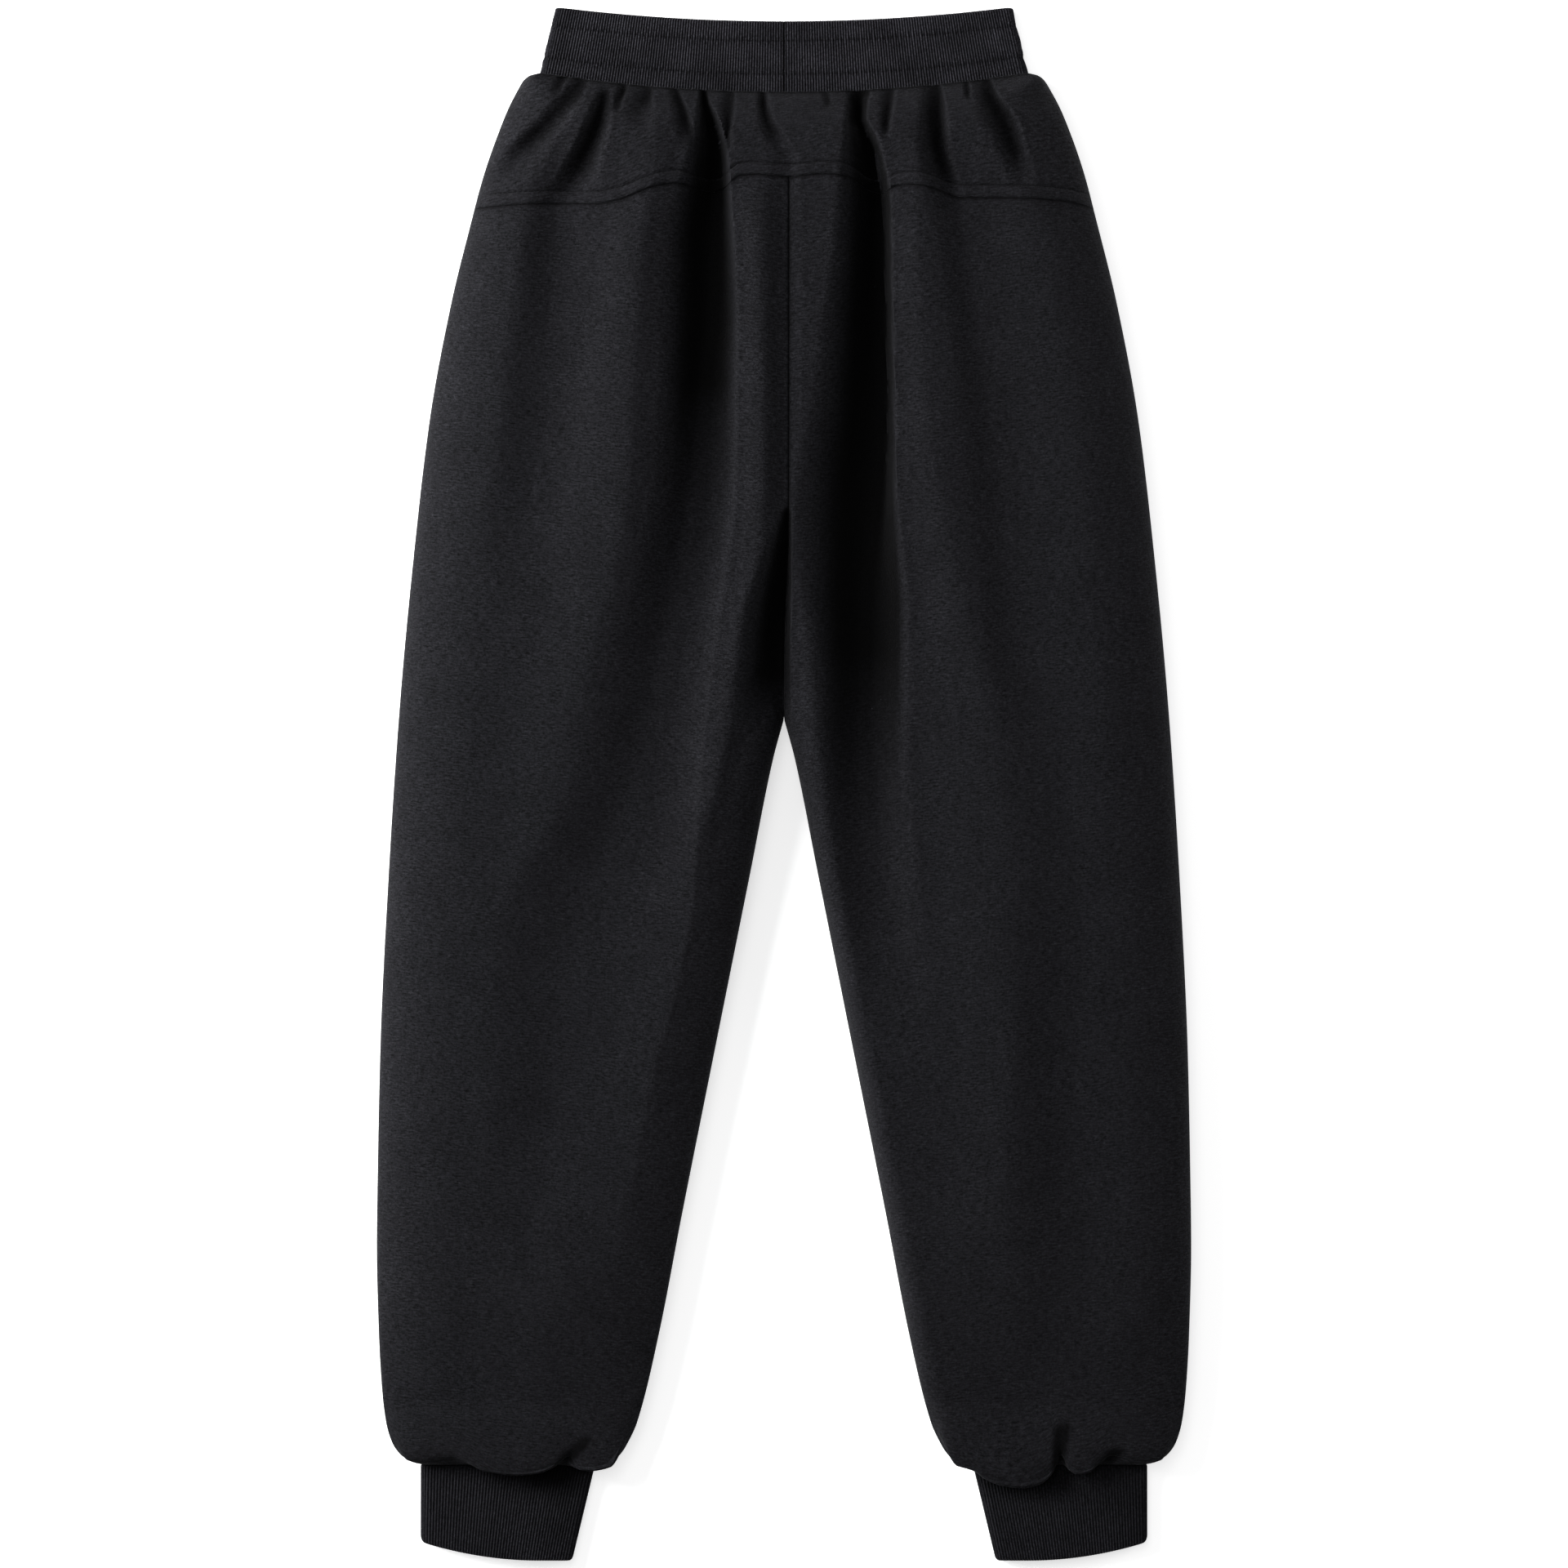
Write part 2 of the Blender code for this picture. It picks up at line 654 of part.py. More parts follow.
def curl(share: float, turn: float, side: int, start_z: float) -> tuple:
    """Point where a leg curls over its cuff: distance out, y, height."""
    lobes = LOBES_LEFT if side < 0 else LOBES_RIGHT
    lowest = between(lobes, "share", "y", share)
    side_y = curl_edge_y(turn)
    angle = math.radians(turn)
    if turn <= 90:
        seam, wide = SEAM_HEIGHT, LOBE_ROUND
        crown = mix(LOBE_HEIGHT, start_z, math.cos(angle))
        lobe_y = mix(CURL_START_Y, lowest, math.sin(angle))
    else:
        fall = math.sin(angle)
        seam = mix(CUFF_THICK / 2, SEAM_HEIGHT, fall)
        wide = mix(CUFF_END_ROUND, LOBE_ROUND, fall)
        crown = mix(CUFF_THICK + CUFF_CLEAR, LOBE_HEIGHT, fall)
        lobe_y = mix(CUFF_SEAM_Y, lowest, 1.0 + math.cos(angle))
    inward = ease(min(share, 1.0 - share) / LOBE_SIDE)
    x = mix(inner_x(side_y), outer_x(side_y), share)
    return x, mix(side_y, lobe_y, inward), seam + (crown - seam) * edge_share(share, wide)


def edge_share(share: float, width: float) -> float:
    """Rounding of the bloused cloth near the leg's two edges, as shares."""
    return arch(share / width) * arch((1.0 - share) / width)


def back_grid(side: int) -> list:
    """Outer points of a back leg, from the yoke seam to the cuff."""
    grid = []
    for number, y_side in enumerate(BACK_ROWS):
        bow = ease(1.0 - (BACK_ROWS[0] - y_side) / BOW_FADE)
        below_seam = HALF_GAP if number == 0 else 0.0
        marks = knots(y_side, side)
        line = []
        for knot, share in back_shares():
            x = side * mix(marks[knot], marks[knot + 1], share)
            y = y_side + bow * (yoke_seam_y(x) - YOKE_SEAM[0].y) - below_seam
            line.append((x, y, top_z(x, y)))
        line[-1] = (side * outer_x(y_side), y_side - below_seam, SEAM_HEIGHT + HALF_GAP)
        if y_side <= CROTCH_Y:
            line[0] = (side * marks[0], y_side, SEAM_HEIGHT + HALF_GAP)
        grid.append(line)
    last = grid[-1]
    inside, outside = inner_x(CURL_START_Y), outer_x(CURL_START_Y)
    for turn in CURL_TURNS:
        line = []
        for start in last:
            share = (abs(start[0]) - inside) / (outside - inside)
            x, y, z = curl(share, turn, side, start[2])
            line.append((side * x, y, z))
        for c in (0, -1):
            x, y, z = line[c]
            line[c] = (x, y, z + HALF_GAP)
        grid.append(line)
    return grid


def front_shares() -> list:
    """Places of a front leg's columns: rounded near both edges, even between."""
    steps = [1 - math.cos(math.pi / 2 * i / EDGE_STEPS) for i in range(EDGE_STEPS)]
    middle = [i / FRONT_MIDDLE for i in range(FRONT_MIDDLE + 1)]
    zones = (("in", steps), ("mid", middle), ("out", steps[::-1]))
    return [(zone, share) for zone, shares in zones for share in shares]


def front_grid(side: int) -> list:
    """Outer points of a front leg, flat on the floor with its edges turned up."""
    grid = []
    upper = [yoke_side_y(step) for step in YOKE_STEPS[:SHARED_STEPS]]
    for y_side in (*upper, *FRONT_ROWS):
        bow = ease(1.0 - (WAIST_Y - y_side) / BOW_FADE)
        inside, outside = max(inner_x(y_side), HALF_GAP), outer_x(y_side)
        turn = min(edge_round(outside, y_side, UNDER_ROUND), (outside - inside) / 3)
        line = []
        for zone, share in front_shares():
            if zone == "in":
                x = inside + share * turn
            elif zone == "out":
                x = outside - share * turn
            else:
                x = mix(inside + turn, outside - turn, share)
            y = y_side - bow * (waist_y(WAIST_HALF) - waist_y(min(x, WAIST_HALF)))
            z = under_z(x, y)
            line.append((side * x, y, z))
        line[-1] = (side * outside, y_side, seam_z(outside, y_side) - HALF_GAP)
        if y_side <= CROTCH_Y:
            line[0] = (side * inside, y_side, SEAM_HEIGHT - HALF_GAP)
        grid.append(line)
    last = grid[-1]
    inside, outside = inner_x(CURL_START_Y), outer_x(CURL_START_Y)
    for turn in CURL_TURNS:
        y = curl_edge_y(turn)
        seam = curl(0.0, turn, side, SEAM_HEIGHT)[2]
        line = []
        for start in last:
            share = (abs(start[0]) - inside) / (outside - inside)
            x = mix(inner_x(y), outer_x(y), share)
            nearest = min(share, 1.0 - share) * (outer_x(y) - inner_x(y))
            line.append((side * x, y, seam * (1.0 - arch(nearest / UNDER_ROUND))))
        for c in (0, -1):
            line[c] = (line[c][0], y, seam - HALF_GAP)
        grid.append(line)
    return grid


def kept_rows(total: int, dense_from: int, dense_to: int) -> list:
    """Rows that the inner surface keeps: every second one, and all in the curl."""
    chosen = {0, total - 1} | set(range(dense_from, total)) | set(range(0, dense_to))
    return sorted(chosen | set(range(0, total, 2)))


def inset(point: tuple, normal: tuple, upright: float, thick: float) -> tuple:
    """Step into the wall, along the normal or, where folds are steep, straight down."""
    down = thick * min(1.0 / max(normal[2], LEAST_RISE), MOST_STRETCH)
    return tuple(
        point[i] - mix(normal[i] * thick, down if i == 2 else 0.0, upright) for i in range(3)
    )


def upright_share(edge: float) -> float:
    """How far straight down, and not along the normal, the wall goes away from an edge."""
    return ease((edge / TOP_ROUND - EDGE_SHARE) / (1.0 - EDGE_SHARE))


def back_inner(grid: list, kept: list, side: int, curled_from: int) -> list:
    """Inner points of a back leg."""
    normals = grid_normals(grid, 1.0)
    inner = []
    for r in kept:
        line = []
        for c, point in enumerate(grid[r]):
            x, y, z = point
            edge = min(outer_x(y) - abs(x), from_inseam(x, y, CROTCH_VALLEY))
            upright = 0.0 if r >= curled_from else upright_share(edge)
            new = list(inset(point, normals[r][c], upright, BODY_WALL))
            at_side = c == len(grid[r]) - 1
            at_inseam = c == 0 and y <= CROTCH_Y
            if at_side or at_inseam:
                step = BODY_WALL * (side if at_inseam else -side)
                new = [x + step, y, z]
            elif c == 0 or r == 0:
                new = [x, y, z - BODY_WALL]
            if r < curled_from:
                new[2] = max(new[2], SEAM_HEIGHT + HALF_GAP)
                new[0] = side * max(side * new[0], HALF_GAP)
                if r == 0:
                    new[1] = y
            if r == len(grid) - 1 and not (at_side or c == 0):
                new = [x, y, z + BODY_WALL]
            line.append(tuple(new))
        inner.append(line)
    return inner


def front_inner(grid: list, kept: list, side: int) -> list:
    """Inner points of a front leg."""
    normals = grid_normals(grid, -1.0)
    last = len(grid) - 1
    inner = []
    for r in kept:
        line = []
        for c, point in enumerate(grid[r]):
            x, y, z = point
            new = [point[i] - normals[r][c][i] * BODY_WALL for i in range(3)]
            at_side = c == len(grid[r]) - 1
            at_inseam = c == 0 and y <= CROTCH_Y
            if at_side or at_inseam:
                new = [x + BODY_WALL * (side if at_inseam else -side), y, z]
            elif c == 0:
                new = [x, y, z + BODY_WALL]
            if r < SHARED_STEPS or r > last - len(CURL_TURNS):
                new[1] = y
            edges = (grid[r][0], grid[r][-1]) if y <= CROTCH_Y else (grid[r][-1],)
            new[2] = min(new[2], *(edge[2] for edge in edges))
            line.append(tuple(new))
        inner.append(line)
    return inner


def yoke_inner(grid: list, kept: list) -> list:
    """Inner points of the yoke."""
    normals = grid_normals(grid, 1.0)
    edge_columns = (0, len(grid[0]) - 1)
    last = len(grid) - 1
    inner = []
    for r in kept:
        line = []
        for c, point in enumerate(grid[r]):
            x, y, z = point
            upright = upright_share(outer_x(y) - abs(x))
            new = list(inset(point, normals[r][c], upright, BODY_WALL))
            if c in edge_columns:
                new = [x - math.copysign(BODY_WALL, x), y, z]
            elif r in (0, last):
                new = [x, y, z - BODY_WALL]
            if r < SHARED_STEPS:
                new[1] = y
            new[2] = max(new[2], seam_z(x, y) + HALF_GAP)
            line.append(tuple(new))
        inner.append(line)
    return inner


def main() -> None:
    """Make every piece."""
    for old in list(bpy.data.objects):
        bpy.data.objects.remove(old)
    band_levels = (Level(0, 0), *(Level(share, 1) for share in BAND_STITCHES), Level(1, 0))
    Waistband(BAND_THICK, RIB_PITCH, band_levels).build("waistband", RIB)
    yoke = yoke_grid()
    kept = [*range(SHARED_STEPS), SHARED_STEPS + 2, len(yoke) - 1]
    wall("back_yoke", yoke, yoke_inner(yoke, kept), kept, FLEECE)
    cuff_levels = (Level(0, 0), Level(CUFF_BEND, 0), Level(1, 0))
    for side, word in ((-1, "left"), (1, "right")):
        back = back_grid(side)
        kept = kept_rows(len(back), len(BACK_ROWS) - 2, 2)
        inner = back_inner(back, kept, side, len(BACK_ROWS))
        wall(f"back_{word}", back, inner, kept, FLEECE)
        front = front_grid(side)
        kept = list(range(len(front)))
        wall(f"front_{word}", front, front_inner(front, kept, side), kept, FLEECE)
        Cuff(side, CUFF_THICK, CUFF_PITCH, cuff_levels).build(f"cuff_{word}", RIB)


main()
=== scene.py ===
"""The looks of a pair of joggers in heavy brushed knit that lie flat, back up.

Every sewn piece is a closed wall of cloth worked out from the garment's outline,
its loft and its folds. Sizes are millimetres in the frame's axes: +Y runs to the
waistband, +X to the wearer's right and +Z up. They become metres in each mesh.
"""
from __future__ import annotations

import logging
import math
from dataclasses import dataclass, replace
from enum import Enum
from typing import NamedTuple, Sequence

import bpy
import numpy as np
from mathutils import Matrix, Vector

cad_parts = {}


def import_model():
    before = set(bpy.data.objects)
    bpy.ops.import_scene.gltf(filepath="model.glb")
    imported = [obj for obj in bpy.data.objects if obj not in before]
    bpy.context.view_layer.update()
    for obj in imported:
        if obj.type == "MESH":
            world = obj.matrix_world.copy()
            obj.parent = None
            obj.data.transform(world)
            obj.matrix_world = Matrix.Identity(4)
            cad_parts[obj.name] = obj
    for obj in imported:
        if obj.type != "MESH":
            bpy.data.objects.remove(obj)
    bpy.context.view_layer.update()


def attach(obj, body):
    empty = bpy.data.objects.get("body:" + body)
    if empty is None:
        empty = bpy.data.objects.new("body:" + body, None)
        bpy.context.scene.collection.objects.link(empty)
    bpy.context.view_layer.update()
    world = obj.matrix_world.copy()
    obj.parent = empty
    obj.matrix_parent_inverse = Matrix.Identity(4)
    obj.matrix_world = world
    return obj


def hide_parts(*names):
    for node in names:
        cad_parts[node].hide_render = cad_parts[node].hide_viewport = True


LOG = logging.getLogger("joggers")
MM = 0.001
FULL_TURN = 2 * math.pi
QUARTER_TURN = math.pi / 2
SHARP_ANGLE = math.radians(60)
WHITE = (1.0, 1.0, 1.0, 1.0)
Array = np.ndarray

# Numbers of a Mix node's colour sockets
MIX_SHARE = 0
MIX_FIRST = 6
MIX_SECOND = 7
MIX_RESULT = 2

# The first and last place of a row
ENDS = [0, -1]


class Side(Enum):
    """The wearer's left or right, as the sign of X."""

    LEFT = -1
    RIGHT = 1

    @property
    def word(self) -> str:
        """The side's name."""
        return self.name.lower()


class Spot(NamedTuple):
    """A point of a line: where it is along, and its value there."""

    at: float
    value: float


class Fold(NamedTuple):
    """One cross-section of a fold: its two lips, its bottom and how deep it is."""

    y: float
    left: float
    bottom: float
    right: float
    depth: float


class Ripple(NamedTuple):
    """Soft unevenness: its height, and each way its run and the sway that bends it."""

    height: float
    run_x: float
    sway_x: float
    sway_x_run: float
    run_y: float
    sway_y: float
    sway_y_run: float

    def at(self, x: Array, y: Array) -> Array:
        """Give how far it lifts each place.

        Args:
            x: Places across.
            y: Places along.

        Returns:
            Heights in millimetres.
        """
        over_x = np.sin(x / self.run_x + self.sway_x * np.sin(y / self.sway_x_run))
        over_y = np.sin(y / self.run_y + self.sway_y * np.sin(x / self.sway_y_run))
        return self.height * over_x * over_y


def mix(low: Array | float, high: Array | float, share: Array | float) -> Array | float:
    """Go a share of the way from low to high."""
    return low + (high - low) * share


def ease(value: Array | float) -> Array:
    """Run smoothly from 0 to 1."""
    value = np.clip(value, 0.0, 1.0)
    return value * value * (3.0 - 2.0 * value)


def arch(value: Array | float) -> Array:
    """Rise as a quarter circle does, from 0 at an edge to 1 where it is flat."""
    return np.sqrt(1.0 - (1.0 - np.clip(value, 0.0, 1.0)) ** 2)


class SmoothLine:
    """A smooth line through a few spots that never overshoots them."""

    def __init__(self, spots: Sequence[tuple[float, float]]) -> None:
        """Work out the line's slopes.

        Args:
            spots: Pairs of a place and the value there, in any order.
        """
        rows = sorted((float(row[0]), float(row[1])) for row in spots)
        self.places = np.array([row[0] for row in rows])
        self.values = np.array([row[1] for row in rows])
        slopes = np.diff(self.values) / np.diff(self.places)
        before, after = slopes[:-1], slopes[1:]
        same_way = before * after > 0.0
        total = np.where(same_way, before + after, 1.0)
        inner = np.where(same_way, 2.0 * before * after / total, 0.0)
        self.tangents = np.concatenate(([slopes[0]], inner, [slopes[-1]]))

    def __call__(self, at: Array | float) -> Array:
        """Read the line.

        Args:
            at: Places to read; those past an end give the end's value.

        Returns:
            The values there.
        """
        at = np.clip(at, self.places[0], self.places[-1])
        left = np.clip(np.searchsorted(self.places, at, side="right") - 1, 0, len(self.places) - 2)
        span = self.places[left + 1] - self.places[left]
        t = (at - self.places[left]) / span
        start = t * (1.0 - t) ** 2 * span * self.tangents[left]
        end = t * t * (t - 1.0) * span * self.tangents[left + 1]
        return mix(self.values[left], self.values[left + 1], ease(t)) + start + end


@dataclass(frozen=True)
class FoldStyle:
    """How a kind of fold is shaped between its lips, and how much shade is painted on it where it is shut
    in.

    The left side falls softly; the right one is steepest at its lip.
    """

    widen: float = 1.0
    flat: float = 1.0
    lip: float = 0.0
    # dark, left_shut, right_shut and shut_ratio set the shade painted into a fold's colour, not its shape
    dark: float = 0.0
    left_shut: float = 1.0
    right_shut: float = 1.0
    shut_ratio: float = 0.36


class FoldLine:
    """A fold that runs down the cloth, with lips of different steepness."""

    shut_power = 2.6
    narrowest = 0.8
    least_width = 2.0

    def __init__(self, rows: Sequence[Fold], style: FoldStyle) -> None:
        """Keep the fold's lines.

        Args:
            rows: The fold's cross-sections from one end to the other.
            style: Its shape and darkness.
        """
        self.top = max(row.y for row in rows)
        self.low = min(row.y for row in rows)
        self.style = style
        self.left, self.bottom, self.right, self.depth = (
            SmoothLine([(row.y, getattr(row, key)) for row in rows])
            for key in ("left", "bottom", "right", "depth")
        )

    def share(self, x: Array, y: Array) -> Array:
        """Give how near the fold's bottom each place is.

        Args:
            x: Places across.
            y: Places along.

        Returns:
            Shares from 0 at its lips to 1.
        """
        style = self.style
        bottom = self.bottom(y)
        on_left = x < bottom
        reach = np.where(on_left, style.widen * (bottom - self.left(y)), self.right(y) - bottom)
        near = 1.0 - np.abs(x - bottom) / np.maximum(reach, self.narrowest)
        near = np.clip(near * style.flat, 0.0, 1.0)
        sharp = mix(ease(near), 1.0 - (1.0 - near) ** 2, style.lip)
        share = np.where(on_left, ease(near), sharp)
        return np.where((y >= self.low) & (y <= self.top), share, 0.0)

    def drop(self, x: Array, y: Array) -> Array:
        """Give how far the fold lowers the cloth.

        Args:
            x: Places across.
            y: Places along.

        Returns:
            Depth in millimetres, 0 away from the fold.
        """
        return self.depth(y) * self.share(x, y)

    def hollow(self, x: Array, y: Array) -> Array:
        """Give how much shade is painted at each place, from 0 on open cloth to 1 in a narrow deep fold.

        Args:
            x: Places across.
            y: Places along.

        Returns:
            Shares from 0 to 1.
        """
        style = self.style
        narrow = self.depth(y) / np.maximum(self.right(y) - self.left(y), self.least_width)
        shut = np.clip(narrow / style.shut_ratio, 0.0, 1.0) ** self.shut_power
        full = np.where(x < self.bottom(y), style.left_shut, style.right_shut)
        # Painted shade, darkest where a narrow deep fold would lie in shade
        return style.dark * shut * ease(self.share(x, y) / full)


# Styles of fold; dark is how much shade is painted into each
LIT_STYLE = FoldStyle(flat=1.15, lip=1.0, dark=1.0, left_shut=0.75, right_shut=0.9)
DEEP_STYLE = FoldStyle(flat=1.1, lip=0.2, dark=1.0, left_shut=0.75, right_shut=0.3, shut_ratio=0.28)
CREASE_STYLE = FoldStyle(lip=0.5, dark=1.0, left_shut=0.7, right_shut=0.2)
GATHER_STYLE = FoldStyle(widen=1.25, lip=0.25, dark=0.72, left_shut=1.15, right_shut=0.8)
TUCK_STYLE = FoldStyle(widen=1.2, dark=0.85, left_shut=0.9, right_shut=0.6)
BROAD_STYLE = FoldStyle()

# The folds, each a run of cross-sections down the garment
WAIST_GATHERS = (
    (Fold(453, -146, -141, -137, 5), Fold(447, -149, -144, -140, 4), Fold(439, -151, -146, -142, 0)),
    (Fold(452, -134, -128, -123, 6), Fold(438, -147, -137, -127, 7), Fold(424, -158, -148, -135, 7),
     Fold(410, -174, -162, -147, 9), Fold(398, -184, -171, -151, 6.5), Fold(382, -191, -181, -158, 0)),
    (Fold(447, -118, -114, -110, 0), Fold(437, -122, -115.5, -109, 9), Fold(425, -126, -119, -109, 11),
     Fold(418, -129, -121.5, -110, 11.5), Fold(405, -135, -126.5, -113, 11),
     Fold(396, -140, -129.5, -115, 9.5), Fold(383, -147, -135, -120, 6), Fold(368, -156, -142, -127, 0)),
    (Fold(453, -106, -101, -99, 7), Fold(445, -107, -102, -100, 7), Fold(437, -111, -105, -102, 5),
     Fold(426, -114, -108, -104, 0)),
    (Fold(452, -96, -85.5, -83.5, 7), Fold(443, -96, -86, -83.5, 6.5), Fold(435, -97, -87, -83, 4),
     Fold(424, -98, -89, -83, 0)),
    (Fold(444, -100, -91, -84, 0), Fold(434, -100, -91, -82, 3), Fold(414, -98, -90, -82, 0)),
    (Fold(450, -75, -70, -67.5, 8), Fold(440, -73, -67, -64.5, 9), Fold(430, -71, -63, -60.5, 8),
     Fold(420, -70, -61, -57, 6), Fold(404, -68, -58, -53, 0)),
    (Fold(449, -38, -33, -30.5, 5), Fold(435, -42, -34, -30.5, 5), Fold(425, -40, -35, -31.5, 5),
     Fold(412, -39, -36, -33, 4), Fold(402, -38, -35, -32, 0)),
    (Fold(448, -16, -13, -10.5, 6), Fold(436, -17, -12.5, -9, 8), Fold(425, -16, -11, -5, 6),
     Fold(412, -12, -5, 4, 4), Fold(399, -6, 3, 12, 0)),
    (Fold(448, 3, 5.5, 7.5, 4), Fold(439, 3, 6, 8, 0)),
    (Fold(448, 23, 26, 28, 5), Fold(439, 24, 28, 31, 4), Fold(430, 25, 29, 33, 0)),
    (Fold(450, 63, 70, 73, 5), Fold(435, 61, 68, 71, 6), Fold(423, 61, 66, 69, 5),
     Fold(412, 62, 65, 67.5, 0)),
    (Fold(451, 90, 98.5, 101, 8), Fold(438, 88, 100, 103.5, 11), Fold(425, 87, 99.5, 105.5, 12),
     Fold(410, 87, 99.5, 107, 11), Fold(396, 88, 102, 110, 9), Fold(380, 92, 106, 117, 5),
     Fold(362, 95, 110, 124, 0)),
    (Fold(452, 114, 117.4, 119, 5), Fold(443, 115, 118, 120, 4), Fold(436, 116, 118, 120, 0)),
    (Fold(453, 122, 130.5, 133.5, 7), Fold(441, 123, 134, 138.5, 10), Fold(431, 125, 139, 146, 12),
     Fold(423, 128, 143, 151, 11), Fold(412, 134, 146, 154, 9), Fold(397, 140, 150, 159, 5),
     Fold(380, 146, 155, 164, 0)),
)
DEEP_LEFT = (
    Fold(449, -54, -51.5, -49, 6), Fold(437, -56, -50.5, -47, 12), Fold(428, -57, -48, -43, 15),
    Fold(416, -60, -45, -38.5, 18), Fold(408, -62, -43, -36.5, 20), Fold(395, -66, -42, -35, 21),
    Fold(372, -74, -41.5, -33.5, 22), Fold(346, -80, -42, -31.5, 22), Fold(294, -81, -44, -29, 20.5),
    Fold(268, -80, -48, -29.5, 19), Fold(240, -82, -50, -29.5, 17.5), Fold(190, -86, -53, -30.5, 15),
    Fold(147, -94, -59, -34.5, 13), Fold(110, -104, -66, -40, 11.5), Fold(42, -122, -78, -49, 9.5),
    Fold(-11, -144, -92, -54, 9), Fold(-74, -182, -116, -58, 9), Fold(-130, -195, -128, -68, 7.5),
    Fold(-180, -192, -135, -82, 6.5), Fold(-240, -195, -142, -94, 4.5), Fold(-330, -200, -150, -110, 0),
)
DEEP_RIGHT = (
    Fold(450, 38.5, 47, 54, 7), Fold(443, 38, 49, 56.5, 14), Fold(437, 38.5, 48.5, 54.5, 16),
    Fold(426, 38, 48.5, 53.5, 19), Fold(415, 37, 53, 59, 21), Fold(400, 35, 58, 64, 23),
    Fold(372, 32, 62, 69, 24), Fold(346, 29, 63, 69.5, 24), Fold(294, 22, 64.5, 70, 25),
    Fold(241, 14, 65.5, 71, 25), Fold(189, 3, 63, 72, 25), Fold(150, 5, 58, 76, 23.5),
    Fold(110, 9, 54, 80, 21), Fold(70, 13, 53, 80, 18), Fold(31, 16, 52, 79, 15),
    Fold(-21, 20, 54, 82, 11), Fold(-74, 26, 60, 88, 7.5), Fold(-150, 50, 76, 104, 0),
)
BODY_FOLDS = (
    (Fold(425, -160, -140, -122, 0), Fold(372, -166, -144, -106, 6), Fold(346, -170, -145, -104, 7.5),
     Fold(268, -182, -148, -110, 6), Fold(190, -192, -160, -126, 3.5), Fold(120, -200, -172, -144, 0)),
    (Fold(425, 92, 104, 116, 0), Fold(372, 94, 114, 165, 5), Fold(294, 104, 126, 185, 5.5),
     Fold(189, 116, 141, 200, 4.5), Fold(94, 124, 150, 205, 3), Fold(20, 135, 165, 210, 0)),
    (Fold(404, -13, 2, 12, 1.5), Fold(392, -13, 3, 12, 3), Fold(300, -13, 2.6, 13, 3.2),
     Fold(220, -13, 2.2, 12, 3), Fold(180, -14, 1, 8, 2.5), Fold(150, -16, 0, 4, 0)),
    (Fold(-60, 140, 185, 262, 0), Fold(-180, 142, 176, 262, 3.5), Fold(-290, 138, 185, 262, 3),
     Fold(-400, 150, 190, 262, 0)),
)
RIDGES = (
    (Fold(392, -34, -17, -1, 0), Fold(372, -33, -17, -1, -2.5), Fold(346, -32, -16.5, 0, -4),
     Fold(268, -31, -15, 1, -4.5), Fold(190, -32, -14, 2, -4.5), Fold(147, -36, -17, -2, -4),
     Fold(110, -42, -25, -11, -3.5), Fold(42, -52, -35, -22, -3), Fold(-11, -60, -46, -34, -2),
     Fold(-60, -70, -56, -44, 0)),
    (Fold(430, -108, -84, -66, 0), Fold(400, -112, -84, -66, -3), Fold(346, -118, -92, -74, -5),
     Fold(268, -134, -97, -72, -6.5), Fold(189, -148, -102, -76, -6.5), Fold(110, -158, -116, -90, -4),
     Fold(31, -175, -140, -114, -2), Fold(-47, -192, -158, -132, 0)),
    (Fold(420, 64, 76, 100, 0), Fold(394, 66, 86, 108, -3), Fold(346, 68, 86, 116, -4.5),
     Fold(268, 70, 90, 126, -4.5), Fold(189, 73, 100, 138, -5), Fold(110, 84, 114, 148, -5),
     Fold(31, 84, 134, 172, -4), Fold(-74, 90, 144, 190, -4.5), Fold(-180, 95, 144, 188, -4),
     Fold(-284, 100, 146, 190, -3), Fold(-380, 110, 150, 190, 0)),
)
CROTCH_CREASE = (
    Fold(178, 0.5, 3.2, 4.4, 0), Fold(164, -7, 3.0, 5.0, 8), Fold(136, -19, 2.2, 5, 14),
    Fold(110, -28, 1.4, 4.6, 17), Fold(84, -33, 0.0, 4.4, 16), Fold(60, -37, -1.2, 4.6, 13),
    Fold(40, -41, -2.4, 5, 8), Fold(12, -48, -10, 0, 0),
)
CUFF_TUCKS = (
    (Fold(-406, 174, 180, 186, 0), Fold(-416, 171, 177, 186, 8), Fold(-430, 170, 176, 184, 10),
     Fold(-447, 170, 176, 183, 10)),
    (Fold(-423, 210, 216, 223, 0), Fold(-430, 203, 211, 220, 8), Fold(-438, 197, 205, 213, 8),
     Fold(-445, 195, 201, 208, 0)),
    (Fold(-417, -132, -126, -120, 0), Fold(-424, -138, -130, -123, 8), Fold(-432, -147, -139, -129, 8),
     Fold(-442, -153, -146, -137, 8)),
    (Fold(-428, -232, -226, -212, 0), Fold(-432, -232, -223, -208, 6), Fold(-438, -231, -222, -207, 6)),
)

# The unevenness that heavy knit keeps when it is laid down
RIPPLES = (
    Ripple(0.45, 21.0, 1.3, 67.0, 54.0, 0.8, 37.0),
    Ripple(0.14, 8.5, 2.1, 31.0, 17.0, 1.7, 19.0),
)


@dataclass(frozen=True)
class SewnShade:
    """How much shade is painted at the back's sewn places, and how fast it fades away from them; along the
    topstitch row it is also the stitches' own dark dashes.
    """

    centre: float = 0.8
    waist: float = 1.4
    waist_most: float = 0.7
    waist_fade: float = 1.3
    edge: float = 0.95
    edge_fade: float = 0.8
    row: float = 0.75
    row_rise: float = 7.9
    row_fade: float = 0.45
    row_half: float = 190.0
    row_even: float = 0.6
    stitch_run: float = 3.7
    stitch_drift: float = 11.0


